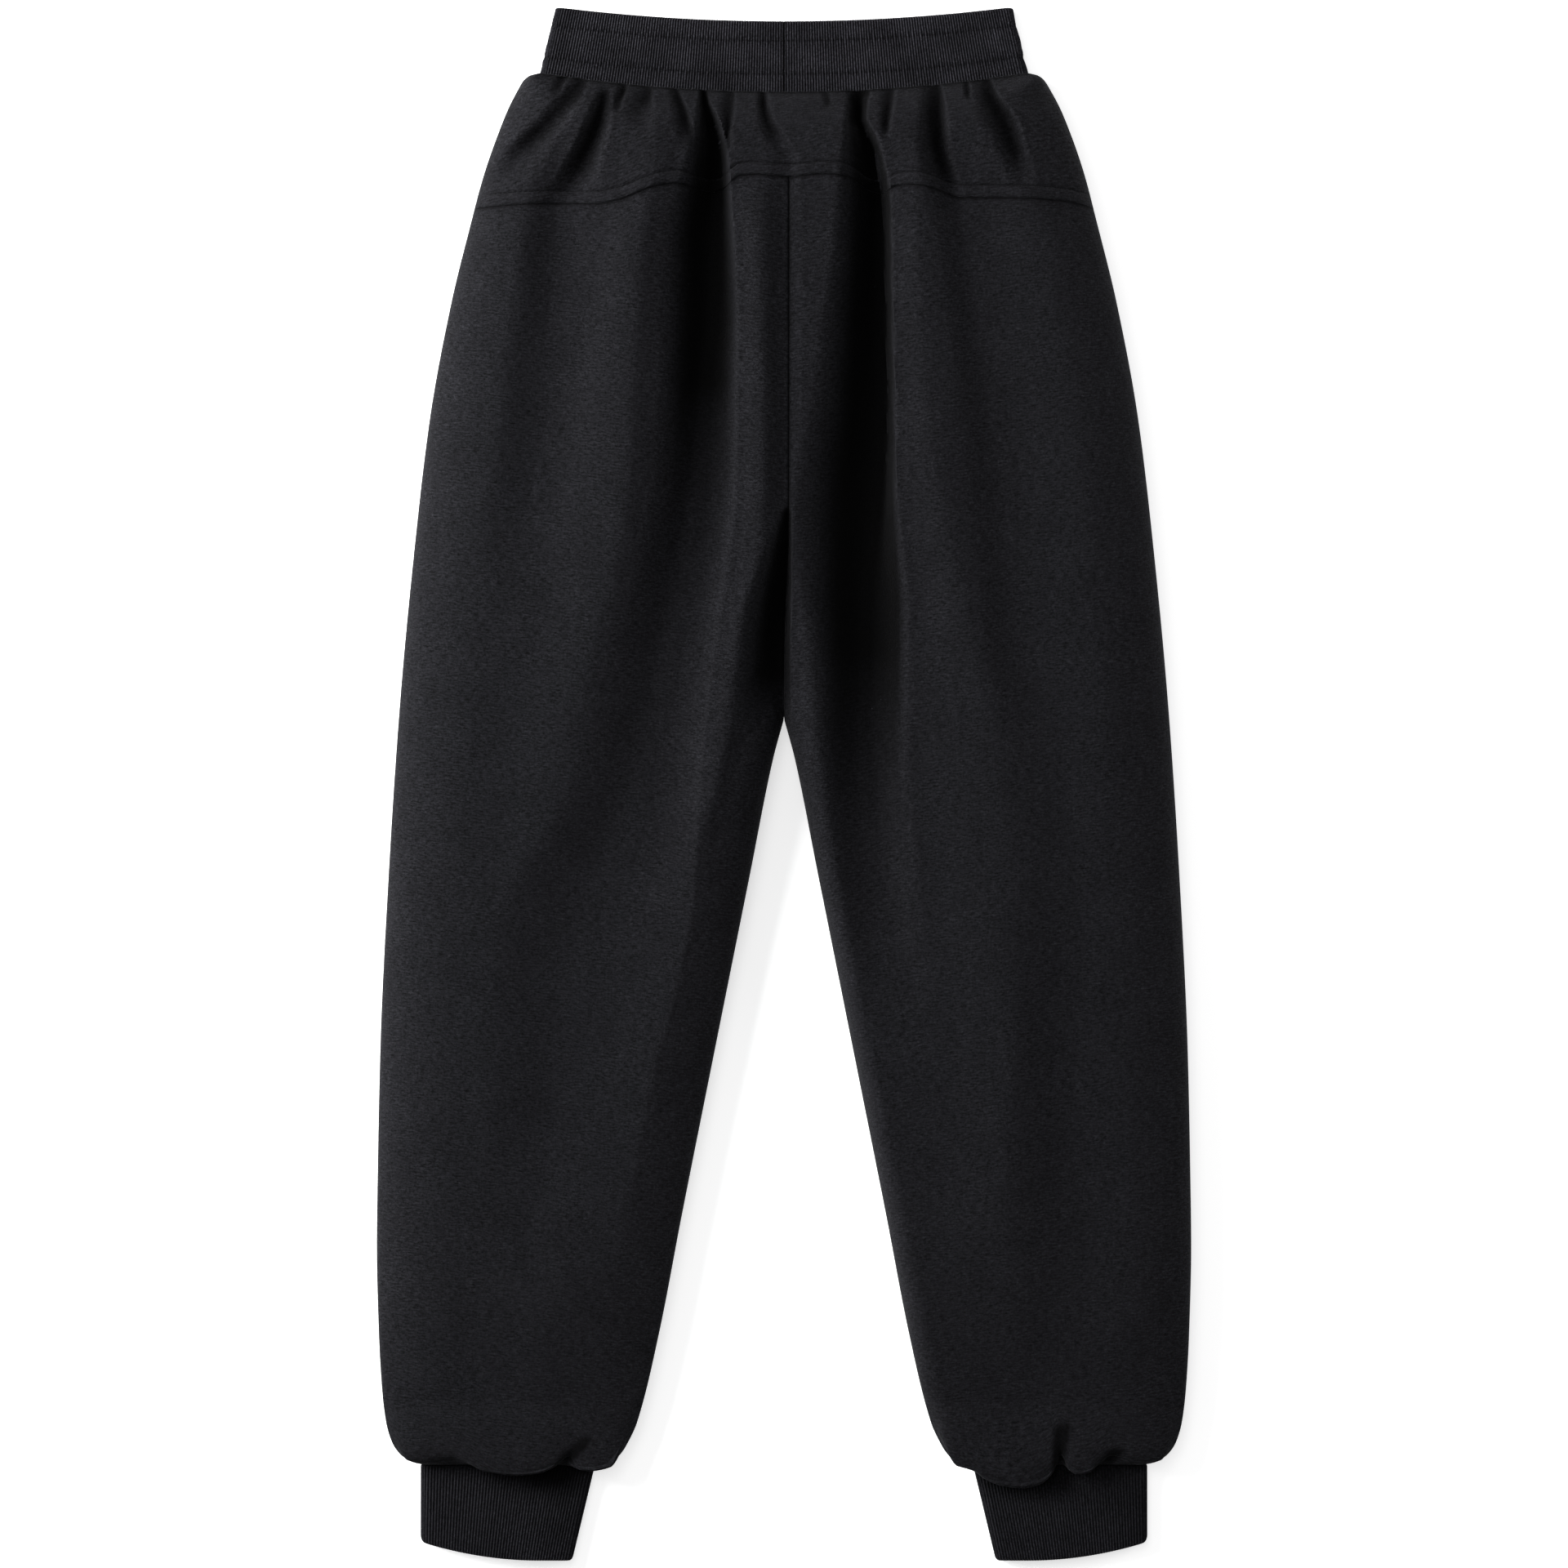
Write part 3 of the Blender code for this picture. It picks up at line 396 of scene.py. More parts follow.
@dataclass
class LaidBody:
    """The shape in which the joggers lie: outline, loft, folds and edges."""

    seam_gap: float = 0.3
    wall: float = 2.5
    band_thick: float = 13.0
    seam_height: float = 18.0
    crotch_y: float = 41.8
    waist_half: float = 156.2
    waist_middle_y: float = 443.6
    waist_rise: float = 12.2
    yoke_half: float = 199.0
    top_round: float = 52.0
    under_round: float = 14.0
    crotch_valley: float = 0.25
    waist_pop: float = 34.0
    waist_lip: float = 0.3
    waist_step: float = 0.42
    edge_settle: float = 26.0
    bow_run: float = 80.0
    seam_roll: float = 0.9
    seam_depth: float = 1.6
    curl_start_y: float = -396.0
    cuff_seam_y: float = -437.6
    shades: SewnShade = SewnShade()

    def __post_init__(self) -> None:
        """Lay out the lines of the garment."""
        self.outer_x = SmoothLine([
            Spot(-437.6, 233.8), Spot(-436.3, 238.0), Spot(-430.9, 246.1), Spot(-422.5, 251.8),
            Spot(-409.9, 255.5), Spot(-388.9, 258.1), Spot(-352.2, 260.2), Spot(-297.0, 261.5),
            Spot(-241.9, 260.8), Spot(-168.3, 259.2), Spot(-58.0, 253.9), Spot(52.3, 246.6),
            Spot(162.6, 236.1), Spot(236.1, 227.2), Spot(309.6, 213.5), Spot(356.9, 201.9),
            Spot(388.4, 193.5), Spot(419.9, 182.5), Spot(445.6, 171.6), Spot(451.8, 168.2),
            Spot(454.7, 164.8), Spot(455.8, 158.2),
        ])
        self.inseam_line = SmoothLine([
            Spot(-437.6, 121.6), Spot(-436.3, 112.5), Spot(-430.9, 105.4), Spot(-422.5, 100.0),
            Spot(-409.9, 94.3), Spot(-352.2, 80.1), Spot(-278.6, 65.9), Spot(-168.3, 43.9),
            Spot(-58.0, 21.8), Spot(15.5, 7.1), Spot(self.crotch_y, 0.0),
        ])
        self.loft = SmoothLine([
            Spot(-430, 21), Spot(-396, 27.5), Spot(-370, 31.5), Spot(-335, 35.5), Spot(-285, 38.5),
            Spot(-220, 40), Spot(-100, 42), Spot(42, 44), Spot(150, 46), Spot(250, 47),
            Spot(330, 46), Spot(400, 43), Spot(460, 41.5),
        ])
        self.inseam_rounds = {
            Side.LEFT: SmoothLine([
                Spot(60, 30), Spot(0, 36), Spot(-60, 56), Spot(-180, 80), Spot(-400, 90),
            ]),
            Side.RIGHT: SmoothLine([Spot(60, 30), Spot(0, 20), Spot(-120, 13), Spot(-400, 14)]),
        }
        self.yoke_seam = SmoothLine([
            Spot(-199.0, 368.8), Spot(-167.8, 370.3), Spot(-136.0, 371.2), Spot(-120.0, 370.5),
            Spot(-104.8, 373.0), Spot(-89.0, 379.0), Spot(-78.5, 382.4), Spot(-68.0, 383.7),
            Spot(-57.5, 381.6), Spot(-45.0, 379.4), Spot(-34.9, 383.9), Spot(-28.6, 388.2),
            Spot(-18.1, 389.4), Spot(-5.0, 388.4), Spot(4.5, 388.0), Spot(16.0, 388.8),
            Spot(26.0, 389.7), Spot(37.0, 388.9), Spot(43.3, 387.2), Spot(55.0, 380.4),
            Spot(64.3, 378.8), Spot(72.0, 381.8), Spot(81.7, 382.7), Spot(94.8, 380.6),
            Spot(105.3, 377.0), Spot(115.8, 374.9), Spot(147.3, 374.4), Spot(178.8, 372.7),
            Spot(199.0, 368.8),
        ])
        self.folds = [
            FoldLine(DEEP_LEFT, LIT_STYLE), FoldLine(DEEP_RIGHT, DEEP_STYLE),
            FoldLine(CROTCH_CREASE, CREASE_STYLE),
        ]
        self.folds += [FoldLine(rows, GATHER_STYLE) for rows in WAIST_GATHERS]
        self.folds += [FoldLine(rows, BROAD_STYLE) for rows in (*BODY_FOLDS, *RIDGES)]
        self.folds += [FoldLine(rows, TUCK_STYLE) for rows in CUFF_TUCKS]
        self.centre_seam = SmoothLine([
            Spot(self.crotch_y, 0.0), Spot(84, 0.3), Spot(168, 3.2), Spot(392, 3.4),
        ])

    def inner_x(self, y: Array | float) -> Array:
        """Distance of the inseam from the centre line, 0 above the crotch."""
        return np.where(np.asarray(y) < self.crotch_y, self.inseam_line(y), 0.0)

    def waist_y(self, x: Array | float) -> Array:
        """Height of the seam between the waistband and the body."""
        out = np.minimum(np.abs(x), self.waist_half) / self.waist_half
        return self.waist_middle_y + self.waist_rise * out ** 2

    def settled(self, x: Array, y: Array) -> Array:
        """Share of the way from the waistband's flatness to the body's loft."""
        return ease(np.maximum(self.waist_y(x) - y, 0.0) / self.edge_settle)

    def seam_z(self, x: Array, y: Array) -> Array:
        """Height of the side seam above the floor."""
        return mix(self.band_thick / 2, self.seam_height, self.settled(x, y))

    def from_inseam(self, x: Array, y: Array, stretch: float) -> Array:
        """Distance from the inseam, or above it from the crotch point."""
        above = np.hypot(x, np.maximum(y - self.crotch_y, 0.0) * stretch)
        return np.where(y <= self.crotch_y, np.abs(x) - self.inner_x(y), above)

    def top_z(self, x: Array, y: Array) -> Array:
        """Give the height of the back's outer surface.

        Args:
            x: Places across.
            y: Places along.

        Returns:
            Heights above the floor.
        """
        below = self.waist_y(x) - y
        slow = np.sin(np.clip(below / self.waist_pop, 0.0, 1.0) * np.pi / 2)
        rise = mix(slow, arch(below / self.waist_lip), self.waist_step)
        uneven = sum(ripple.at(x, y) for ripple in RIPPLES)
        full = self.loft(y) + uneven - self.seam_depth * self.seam_groove(x, y)
        for fold in self.folds:
            full = full - fold.drop(x, y)
        crown = mix(self.band_thick, full, rise)
        wide = mix(self.band_thick / 2, self.top_round, self.settled(x, y))
        side = arch((self.outer_x(y) - np.abs(x)) / wide)
        rounds = self.inseam_rounds
        inner_round = np.where(x < 0.0, rounds[Side.LEFT](y), rounds[Side.RIGHT](y))
        inseam = arch(self.from_inseam(x, y, self.crotch_valley) / inner_round)
        low = self.seam_z(x, y)
        return low + (crown - low) * side * inseam

    def seam_groove(self, x: Array, y: Array) -> Array:
        """Give how near the centre back seam each place is, from 0 a few mm away to 1."""
        below = (y < self.yoke_seam(x)) & (y > self.crotch_y)
        return np.where(below, np.exp(-np.abs(x - self.centre_seam(y)) / self.seam_roll), 0.0)

    def hollow(self, x: Array, y: Array) -> Array:
        """Give the shade painted into the back's cloth: in folds, in the centre seam's groove, under the
        waistband's lip and the yoke's edge, and along the topstitch row.

        Args:
            x: Places across.
            y: Places along.

        Returns:
            Shares from 0 on open cloth to 1 in a shut fold.
        """
        shades = self.shades
        # Painted shade under the waistband's lip and in the centre seam's groove
        at_band = shades.waist * np.exp(-np.maximum(self.waist_y(x) - y, 0.0) / shades.waist_fade)
        found = np.maximum(shades.centre * self.seam_groove(x, y), np.minimum(at_band, shades.waist_most))
        # Painted shadow under the yoke's turned-up edge, and the topstitch row's dark dashes, partly
        # painted shade
        below = self.yoke_seam(x) - y
        edge = np.where(below > 0.0, shades.edge * np.exp(-below / shades.edge_fade), 0.0)
        stitches = np.sin(FULL_TURN * x / shades.stitch_run + np.sin(x / shades.stitch_drift))
        pulled = shades.row_even + (1.0 - shades.row_even) * stitches
        row = np.exp(-((below + shades.row_rise) / shades.row_fade) ** 2)
        row = np.where(np.abs(x) < shades.row_half, shades.row * row * pulled, 0.0)
        found = np.maximum(found, np.maximum(edge, row))
        for fold in self.folds:
            found = np.maximum(found, fold.hollow(x, y))
        return found

    def under_z(self, x: Array, y: Array) -> Array:
        """Give the height of the front's outer surface, which rests on the floor.

        Args:
            x: Places across.
            y: Places along.

        Returns:
            Heights above the floor.
        """
        wide = mix(self.band_thick / 2, self.under_round, self.settled(x, y))
        side = arch((self.outer_x(y) - np.abs(x)) / wide)
        inseam = arch(self.from_inseam(x, y, 1.0) / self.under_round)
        return self.seam_z(x, y) * (1.0 - side * inseam)


@dataclass(frozen=True)
class Tint:
    """A linear colour."""

    red: float
    green: float
    blue: float

    def rgba(self) -> tuple[float, float, float, float]:
        """Give the colour for a shader socket."""
        return self.red, self.green, self.blue, 1.0

    def scaled(self, by: float) -> Tint:
        """Give a lighter or darker copy."""
        return Tint(self.red * by, self.green * by, self.blue * by)


class NodeSheet:
    """A short way to place and join shader nodes."""

    def __init__(self, tree: bpy.types.NodeTree) -> None:
        """Keep the tree that the nodes go in."""
        self.tree = tree

    def add(self, kind: str, inputs: dict | None = None, **settings: object) -> bpy.types.Node:
        """Place a node.

        Args:
            kind: The node's type name.
            inputs: Socket names or numbers with a value, or a socket to join.
            settings: Properties of the node.

        Returns:
            The node.
        """
        node = self.tree.nodes.new(kind)
        for key, value in settings.items():
            setattr(node, key, value)
        for key, value in (inputs or {}).items():
            if isinstance(value, bpy.types.NodeSocket):
                self.join(value, node.inputs[key])
            else:
                node.inputs[key].default_value = value
        return node

    def join(self, start: bpy.types.NodeSocket, end: bpy.types.NodeSocket) -> None:
        """Join an output to an input."""
        self.tree.links.new(start, end)

    def math(self, operation: str, first: object, second: object = 0.0) -> bpy.types.NodeSocket:
        """Place a math node and give its result."""
        return self.add("ShaderNodeMath", {0: first, 1: second}, operation=operation).outputs[0]

    def group(self, tree: bpy.types.NodeTree, inputs: dict) -> bpy.types.Node:
        """Place a shared effect with its own values."""
        return self.add("ShaderNodeGroup", inputs, node_tree=tree)

    def mix_colours(
        self, share: bpy.types.NodeSocket, first: bpy.types.NodeSocket | Tint, second: Tint
    ) -> bpy.types.NodeSocket:
        """Mix two colours.

        Args:
            share: How much of the second there is.
            first: The first colour, a socket or a tint.
            second: The second colour.

        Returns:
            The mixed colour.
        """
        start = first.rgba() if isinstance(first, Tint) else first
        inputs = {MIX_SHARE: share, MIX_FIRST: start, MIX_SECOND: second.rgba()}
        return self.add("ShaderNodeMix", inputs, data_type="RGBA").outputs[MIX_RESULT]


def new_group(
    name: str, takes: dict[str, float], gives: dict[str, str], placed: bool = True
) -> tuple[NodeSheet, bpy.types.Node, bpy.types.Node]:
    """Start a shader node group.

    Args:
        name: The group's name.
        takes: Names of its number inputs with their usual values.
        gives: Names of its outputs with their socket types.
        placed: Whether it also takes the places to work at, as its Vector input.

    Returns:
        The group's sheet, its input node and its output node.
    """
    group = bpy.data.node_groups.new(name, "ShaderNodeTree")
    if placed:
        group.interface.new_socket("Vector", in_out="INPUT", socket_type="NodeSocketVector")
    for key, value in takes.items():
        socket = group.interface.new_socket(key, in_out="INPUT", socket_type="NodeSocketFloat")
        socket.default_value = value
    for key, kind in gives.items():
        group.interface.new_socket(key, in_out="OUTPUT", socket_type=kind)
    return NodeSheet(group), group.nodes.new("NodeGroupInput"), group.nodes.new("NodeGroupOutput")


def new_material(name: str) -> tuple[bpy.types.Material, NodeSheet, bpy.types.Node]:
    """Start a material.

    Args:
        name: The material's name.

    Returns:
        The material, its sheet of nodes and its shader.
    """
    made = bpy.data.materials.new(name)
    made.use_nodes = True
    return made, NodeSheet(made.node_tree), made.node_tree.nodes["Principled BSDF"]


class ClothEffects:
    """The effects that the cloths share, each a node group."""

    def __init__(self) -> None:
        """Make the groups once."""
        self.stitches = self.knit_stitches()
        self.courses = self.knit_courses()
        self.nap = self.brushed_nap()
        self.lint = self.lint_specks()
        # Painted shade in shut folds
        self.folds = self.painted_fold_shade()

    @staticmethod
    def knit_stitches() -> bpy.types.NodeTree:
        """Make columns of V stitches: their height, from wale and course sizes.

        Returns:
            The group.
        """
        sheet, takes, gives = new_group(
            "knit_stitches", {"Wale": 1.0, "Course": 0.8, "Lean": 0.5, "Loops": 0.35},
            {"Height": "NodeSocketFloat"},
        )
        parts = sheet.add("ShaderNodeSeparateXYZ", {0: takes.outputs["Vector"]})
        across = sheet.math("DIVIDE", parts.outputs[0], takes.outputs["Wale"])
        along = sheet.math("DIVIDE", parts.outputs[1], takes.outputs["Course"])
        half = sheet.math("PINGPONG", across, 0.5)
        leaned = sheet.math("ADD", along, sheet.math("MULTIPLY", half, takes.outputs["Lean"]))
        loop = sheet.math("SINE", sheet.math("MULTIPLY", leaned, FULL_TURN))
        column = sheet.math("SINE", sheet.math("MULTIPLY", half, FULL_TURN))
        height = sheet.math("ADD", sheet.math("MULTIPLY", loop, takes.outputs["Loops"]), column)
        sheet.join(height, gives.inputs["Height"])
        return sheet.tree

    @staticmethod
    def knit_courses() -> bpy.types.NodeTree:
        """Make the uneven yarn of the knit: short light and dark streaks along its courses.

        Returns:
            The group.
        """
        sheet, takes, gives = new_group(
            "knit_courses", {"Length": 0.005, "Course": 0.001, "Slant": 0.12},
            {"Shade": "NodeSocketFloat"},
        )
        parts = sheet.add("ShaderNodeSeparateXYZ", {0: takes.outputs["Vector"]})
        lean = sheet.math("MULTIPLY", parts.outputs[0], takes.outputs["Slant"])
        across = sheet.math("DIVIDE", parts.outputs[0], takes.outputs["Length"])
        along = sheet.math("DIVIDE", sheet.math("ADD", parts.outputs[1], lean), takes.outputs["Course"])
        place = sheet.add("ShaderNodeCombineXYZ", {0: across, 1: along})
        streaks = sheet.add("ShaderNodeTexNoise", {
            "Vector": place.outputs[0], "Scale": 1.0, "Detail": 2.0, "Roughness": 0.6})
        sheet.join(streaks.outputs["Fac"], gives.inputs["Shade"])
        return sheet.tree

    @staticmethod
    def brushed_nap() -> bpy.types.NodeTree:
        """Make the short brushed pile: a fine height and slow light and dark patches.

        Returns:
            The group.
        """
        sheet, takes, gives = new_group(
            "brushed_nap", {"Fineness": 700.0, "Patches": 45.0},
            {"Height": "NodeSocketFloat", "Shade": "NodeSocketFloat"},
        )
        place = takes.outputs["Vector"]
        fine = sheet.add("ShaderNodeTexNoise", {
            "Vector": place, "Scale": takes.outputs["Fineness"], "Detail": 3.0, "Roughness": 0.7})
        slow = sheet.add("ShaderNodeTexNoise", {
            "Vector": place, "Scale": takes.outputs["Patches"], "Detail": 4.0, "Roughness": 0.65})
        sheet.join(fine.outputs["Fac"], gives.inputs["Height"])
        sheet.join(slow.outputs["Fac"], gives.inputs["Shade"])
        return sheet.tree

    @staticmethod
    def lint_specks() -> bpy.types.NodeTree:
        """Make a mask of a few pale specks of lint.

        Returns:
            The group.
        """
        sheet, takes, gives = new_group(
            "lint_specks", {"Spread": 75.0, "Size": 0.022}, {"Mask": "NodeSocketFloat"}
        )
        cells = sheet.add("ShaderNodeTexVoronoi", {
            "Vector": takes.outputs["Vector"], "Scale": takes.outputs["Spread"], "Randomness": 1.0})
        mask = sheet.math("LESS_THAN", cells.outputs["Distance"], takes.outputs["Size"])
        sheet.join(mask, gives.inputs["Mask"])
        return sheet.tree

    @staticmethod
    def painted_fold_shade() -> bpy.types.NodeTree:
        """Make the share of its colour that painted shade leaves in a shut fold.

        Returns:
            The group.
        """
        sheet, takes, gives = new_group(
            "painted_fold_shade", {"Hollow": 0.0, "Darkest": 0.05}, {"Share": "NodeSocketFloat"}, placed=False
        )
        kept = sheet.add("ShaderNodeMapRange", {
            "Value": takes.outputs["Hollow"], "To Min": 1.0, "To Max": takes.outputs["Darkest"]})
        sheet.join(kept.outputs[0], gives.inputs["Share"])
        return sheet.tree


@dataclass(frozen=True)
class KnitFinish:
    """A black knit cloth: its colour, nap and stitch sizes in metres."""

    name: str
    slot: str
    tint: Tint
    wale: float
    course: float
    streak: float
    streak_share: float
    nap_share: float
    patch_share: float
    stitch_bump: float
    nap_bump: float
    sheen: float
    lint_lift: float = 3.0
    specular: float = 0.07
    roughness: float = 0.95
    sheen_roughness: float = 0.3
    sheen_tint: Tint = Tint(0.92, 0.92, 1.0)
    nap_depth: float = 0.0006
    stitch_depth: float = 0.0002
    noise_low: float = 0.25
    noise_high: float = 0.75

    def spread(self, sheet: NodeSheet, value: bpy.types.NodeSocket, share: float) -> bpy.types.NodeSocket:
        """Turn a noise value into a shade around 1.

        Args:
            sheet: The material's nodes.
            value: The noise, about 0.5.
            share: How far the shade goes to each side of 1.

        Returns:
            The shade.
        """
        ranged = sheet.add("ShaderNodeMapRange", {
            "Value": value, "From Min": self.noise_low, "From Max": self.noise_high,
            "To Min": 1.0 - share, "To Max": 1.0 + share})
        ranged.clamp = False
        return ranged.outputs[0]

    def make(self, effects: ClothEffects) -> bpy.types.Material:
        """Make the material.

        Args:
            effects: The shared node groups.

        Returns:
            The material.
        """
        made, sheet, shader = new_material(self.name)
        cloth = sheet.add("ShaderNodeUVMap", uv_map="cloth").outputs["UV"]
        place = sheet.add("ShaderNodeTexCoord").outputs["Object"]
        # This attribute carries the shade painted into folds, seams and rib valleys
        hollow = sheet.add("ShaderNodeAttribute", attribute_name="hollow").outputs["Fac"]

        loops = {"Vector": cloth, "Wale": self.wale, "Course": self.course}
        stitches = sheet.group(effects.stitches, loops)
        yarn = {"Vector": cloth, "Length": self.streak, "Course": self.course}
        courses = sheet.group(effects.courses, yarn)
        nap = sheet.group(effects.nap, {"Vector": place})
        lint = sheet.group(effects.lint, {"Vector": place})
        folds = sheet.group(effects.folds, {"Hollow": hollow})

        # Painted fold shade, times the knit's uneven tone and patches
        shade = folds.outputs["Share"]
        for noise, share in (
            (courses.outputs["Shade"], self.streak_share),
            (nap.outputs["Height"], self.nap_share),
            (nap.outputs["Shade"], self.patch_share),
        ):
            shade = sheet.math("MULTIPLY", shade, self.spread(sheet, noise, share))
        colour = {0: self.tint.rgba()[:3], "Scale": shade}
        tinted = sheet.add("ShaderNodeVectorMath", colour, operation="SCALE")
        pale = self.tint.scaled(self.lint_lift)
        specked = sheet.mix_colours(lint.outputs["Mask"], tinted.outputs[0], pale)
        sheet.join(specked, shader.inputs["Base Color"])

        nap_bump = sheet.add("ShaderNodeBump", {
            "Height": nap.outputs["Height"], "Strength": self.nap_bump, "Distance": self.nap_depth})
        knit_bump = sheet.add("ShaderNodeBump", {
            "Height": stitches.outputs["Height"], "Normal": nap_bump.outputs[0],
            "Strength": self.stitch_bump, "Distance": self.stitch_depth})
        sheet.join(knit_bump.outputs[0], shader.inputs["Normal"])
        shader.inputs["Roughness"].default_value = self.roughness
        shader.inputs["Specular IOR Level"].default_value = self.specular
        shader.inputs["Sheen Weight"].default_value = self.sheen
        shader.inputs["Sheen Roughness"].default_value = self.sheen_roughness
        shader.inputs["Sheen Tint"].default_value = self.sheen_tint.rgba()
        return made


@dataclass(frozen=True)
class ThreadFinish:
    """Sewing thread: a little smoother than the cloth, and twisted light and dark."""

    name: str
    tint: Tint
    roughness: float
    specular: float = 0.1
    twist_scale: float = 1500.0
    twist_dark: float = 0.6
    twist_light: float = 1.4

    def make(self) -> bpy.types.Material:
        """Make the material.

        Returns:
            The material.
        """
        made, sheet, shader = new_material(self.name)
        place = sheet.add("ShaderNodeTexCoord").outputs["Object"]
        noise = sheet.add("ShaderNodeTexNoise", {"Vector": place, "Scale": self.twist_scale})
        dark, light = self.tint.scaled(self.twist_dark), self.tint.scaled(self.twist_light)
        sheet.join(sheet.mix_colours(noise.outputs["Fac"], dark, light), shader.inputs["Base Color"])
        shader.inputs["Roughness"].default_value = self.roughness
        shader.inputs["Specular IOR Level"].default_value = self.specular
        return made


class ClothWall:
    """Closed walls of cloth, from an outer grid of points and a sparser inner one."""

    @staticmethod
    def normals(grid: Array) -> Array:
        """Give the unit normals of a grid of points.

        Args:
            grid: Points as rows, columns and three coordinates.

        Returns:
            Normals on the side that faces up where the grid's middle does.
        """
        down = np.gradient(grid, axis=0)
        across = np.gradient(grid, axis=1)
        found = np.cross(down, across)
        size = np.linalg.norm(found, axis=2, keepdims=True)
        return found / np.maximum(size, 1e-9)

    @staticmethod
    def rim(outer: Array, inner: Array, kept: Sequence[int], turned: bool) -> list[tuple]:
        """Fill between an outer edge line and a sparser inner one.

        Args:
            outer: Vertex numbers along the outer line.
            inner: Vertex numbers along the inner line.
            kept: Which outer places the inner line has.
            turned: Whether the faces run the other way round.

        Returns:
            Triangles.
        """
        faces = []
        for k, (start, end) in enumerate(zip(kept, kept[1:])):
            for place in range(start, end):
                faces.append((outer[place + 1], outer[place], inner[k]))
            faces.append((outer[end], inner[k], inner[k + 1]))
        return [face[::-1] for face in faces] if turned else faces

    @classmethod
    def build(
        cls, name: str, outer: Array, inner: Array, kept: tuple[Sequence[int], Sequence[int]],
        cloth: Array, turned: bool, hollow: Array | None = None,
    ) -> bpy.types.Object:
        """Make a closed wall.

        Args:
            name: The piece's name.
            outer: The outer grid of points.
            inner: The inner grid, with only the kept rows and columns.
            kept: The kept rows and the kept columns.
            cloth: Places on the cut cloth of the outer points, in metres.
            turned: Whether the outer grid's faces have to be turned over.
            hollow: How much shade is painted on each outer point, or None.

        Returns:
            The piece.
        """
        rows, columns = outer.shape[:2]
        over = np.arange(rows * columns).reshape(rows, columns)
        under = np.arange(inner.shape[0] * inner.shape[1]).reshape(inner.shape[:2]) + over.size
        quads = np.stack((over[:-1, :-1], over[:-1, 1:], over[1:, 1:], over[1:, :-1]), axis=2)
        backs = np.stack((under[:-1, :-1], under[1:, :-1], under[1:, 1:], under[:-1, 1:]), axis=2)
        faces = [tuple(f) for f in quads.reshape(-1, 4).tolist() + backs.reshape(-1, 4).tolist()]
        faces += cls.rim(over[0], under[0], kept[1], False)
        faces += cls.rim(over[-1], under[-1], kept[1], True)
        faces += cls.rim(over[:, 0], under[:, 0], kept[0], True)
        faces += cls.rim(over[:, -1], under[:, -1], kept[0], False)
        if turned:
            faces = [face[::-1] for face in faces]
        points = np.concatenate((outer.reshape(-1, 3), inner.reshape(-1, 3))) * MM
        inner_cloth = cloth[np.ix_(kept[0], kept[1])]
        spots = np.concatenate((cloth.reshape(-1, 2), inner_cloth.reshape(-1, 2)))
        shut = np.zeros(len(points))
        if hollow is not None:
            shut[: over.size] = hollow.ravel()
        return finish_mesh(name, points, faces, spots, shut)


def finish_mesh(
    name: str, points: Array, faces: list[tuple], spots: Array | None, hollow: Array | None = None,
) -> bpy.types.Object:
    """Turn points and faces into a smooth object in the scene.

    Args:
        name: The piece's name.
        points: Points in metres.
        faces: Vertex numbers of each face.
        spots: Places on the cut cloth of each point, or None.
        hollow: How much shade is painted on each point, or None.

    Returns:
        The piece.
    """
    mesh = bpy.data.meshes.new(name)
    mesh.from_pydata(points.tolist(), [], faces)
    mesh.update()
    if spots is not None:
        numbers = np.empty(len(mesh.loops), dtype=np.int32)
        mesh.loops.foreach_get("vertex_index", numbers)
        layer = mesh.uv_layers.new(name="cloth")
        layer.data.foreach_set("uv", spots[numbers].astype(np.float32).ravel())
    # Painted shade, kept as a point attribute that the cloth's colour reads
    if hollow is not None:
        shut = mesh.attributes.new("hollow", "FLOAT", "POINT")
        shut.data.foreach_set("value", hollow.astype(np.float32))
    mesh.shade_smooth()
    mesh.set_sharp_from_angle(angle=SHARP_ANGLE)
    made = bpy.data.objects.new(name, mesh)
    bpy.context.scene.collection.objects.link(made)
    return made


def run_along(grid: Array, axis: int) -> Array:
    """Give how far each grid point is along its line.

    Args:
        grid: Points as rows, columns and three coordinates.
        axis: 0 to go down the columns, 1 to go along the rows.

    Returns:
        Distances from the line's first point.
    """
    steps = np.linalg.norm(np.diff(grid, axis=axis), axis=2)
    start = np.zeros_like(steps.take([0], axis=axis))
    return np.concatenate((start, np.cumsum(steps, axis=axis)), axis=axis)


def cut_places(grid: Array) -> Array:
    """Give each grid point's place on the cut cloth, from distances along it.

    Args:
        grid: Outer points of a piece.

    Returns:
        Distances across and along in metres.
    """
    middle = grid.shape[1] // 2
    down = run_along(grid, 0)[:, middle : middle + 1]
    return np.stack((run_along(grid, 1), np.repeat(down, grid.shape[1], axis=1)), axis=2) * MM


def every(count: int, step: int) -> list[int]:
    """Give every so-manieth place of a count, with the last."""
    return sorted(set(range(0, count, step)) | {count - 1})


@dataclass(kw_only=True)
class ClothPiece:
    """A piece of cloth: its finish, the node that it replaces and the size of its flat cut."""

    name: str
    node: str
    finish: KnitFinish
    flat: tuple[float, float]
    area: float

    def build(self) -> bpy.types.Object:
        """Make the piece's mesh."""
        raise NotImplementedError

    def dress(self, piece: bpy.types.Object, cloth: bpy.types.Material) -> None:
        """Finish the piece, hang it under the root and hide the model part that it replaces.

        Args:
            piece: The piece.
            cloth: The material of its finish.
        """
        piece.data.materials.append(cloth)
        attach(piece, "root")
        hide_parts(self.node)
        LOG.info("%s: %d faces", piece.name, len(piece.data.polygons))


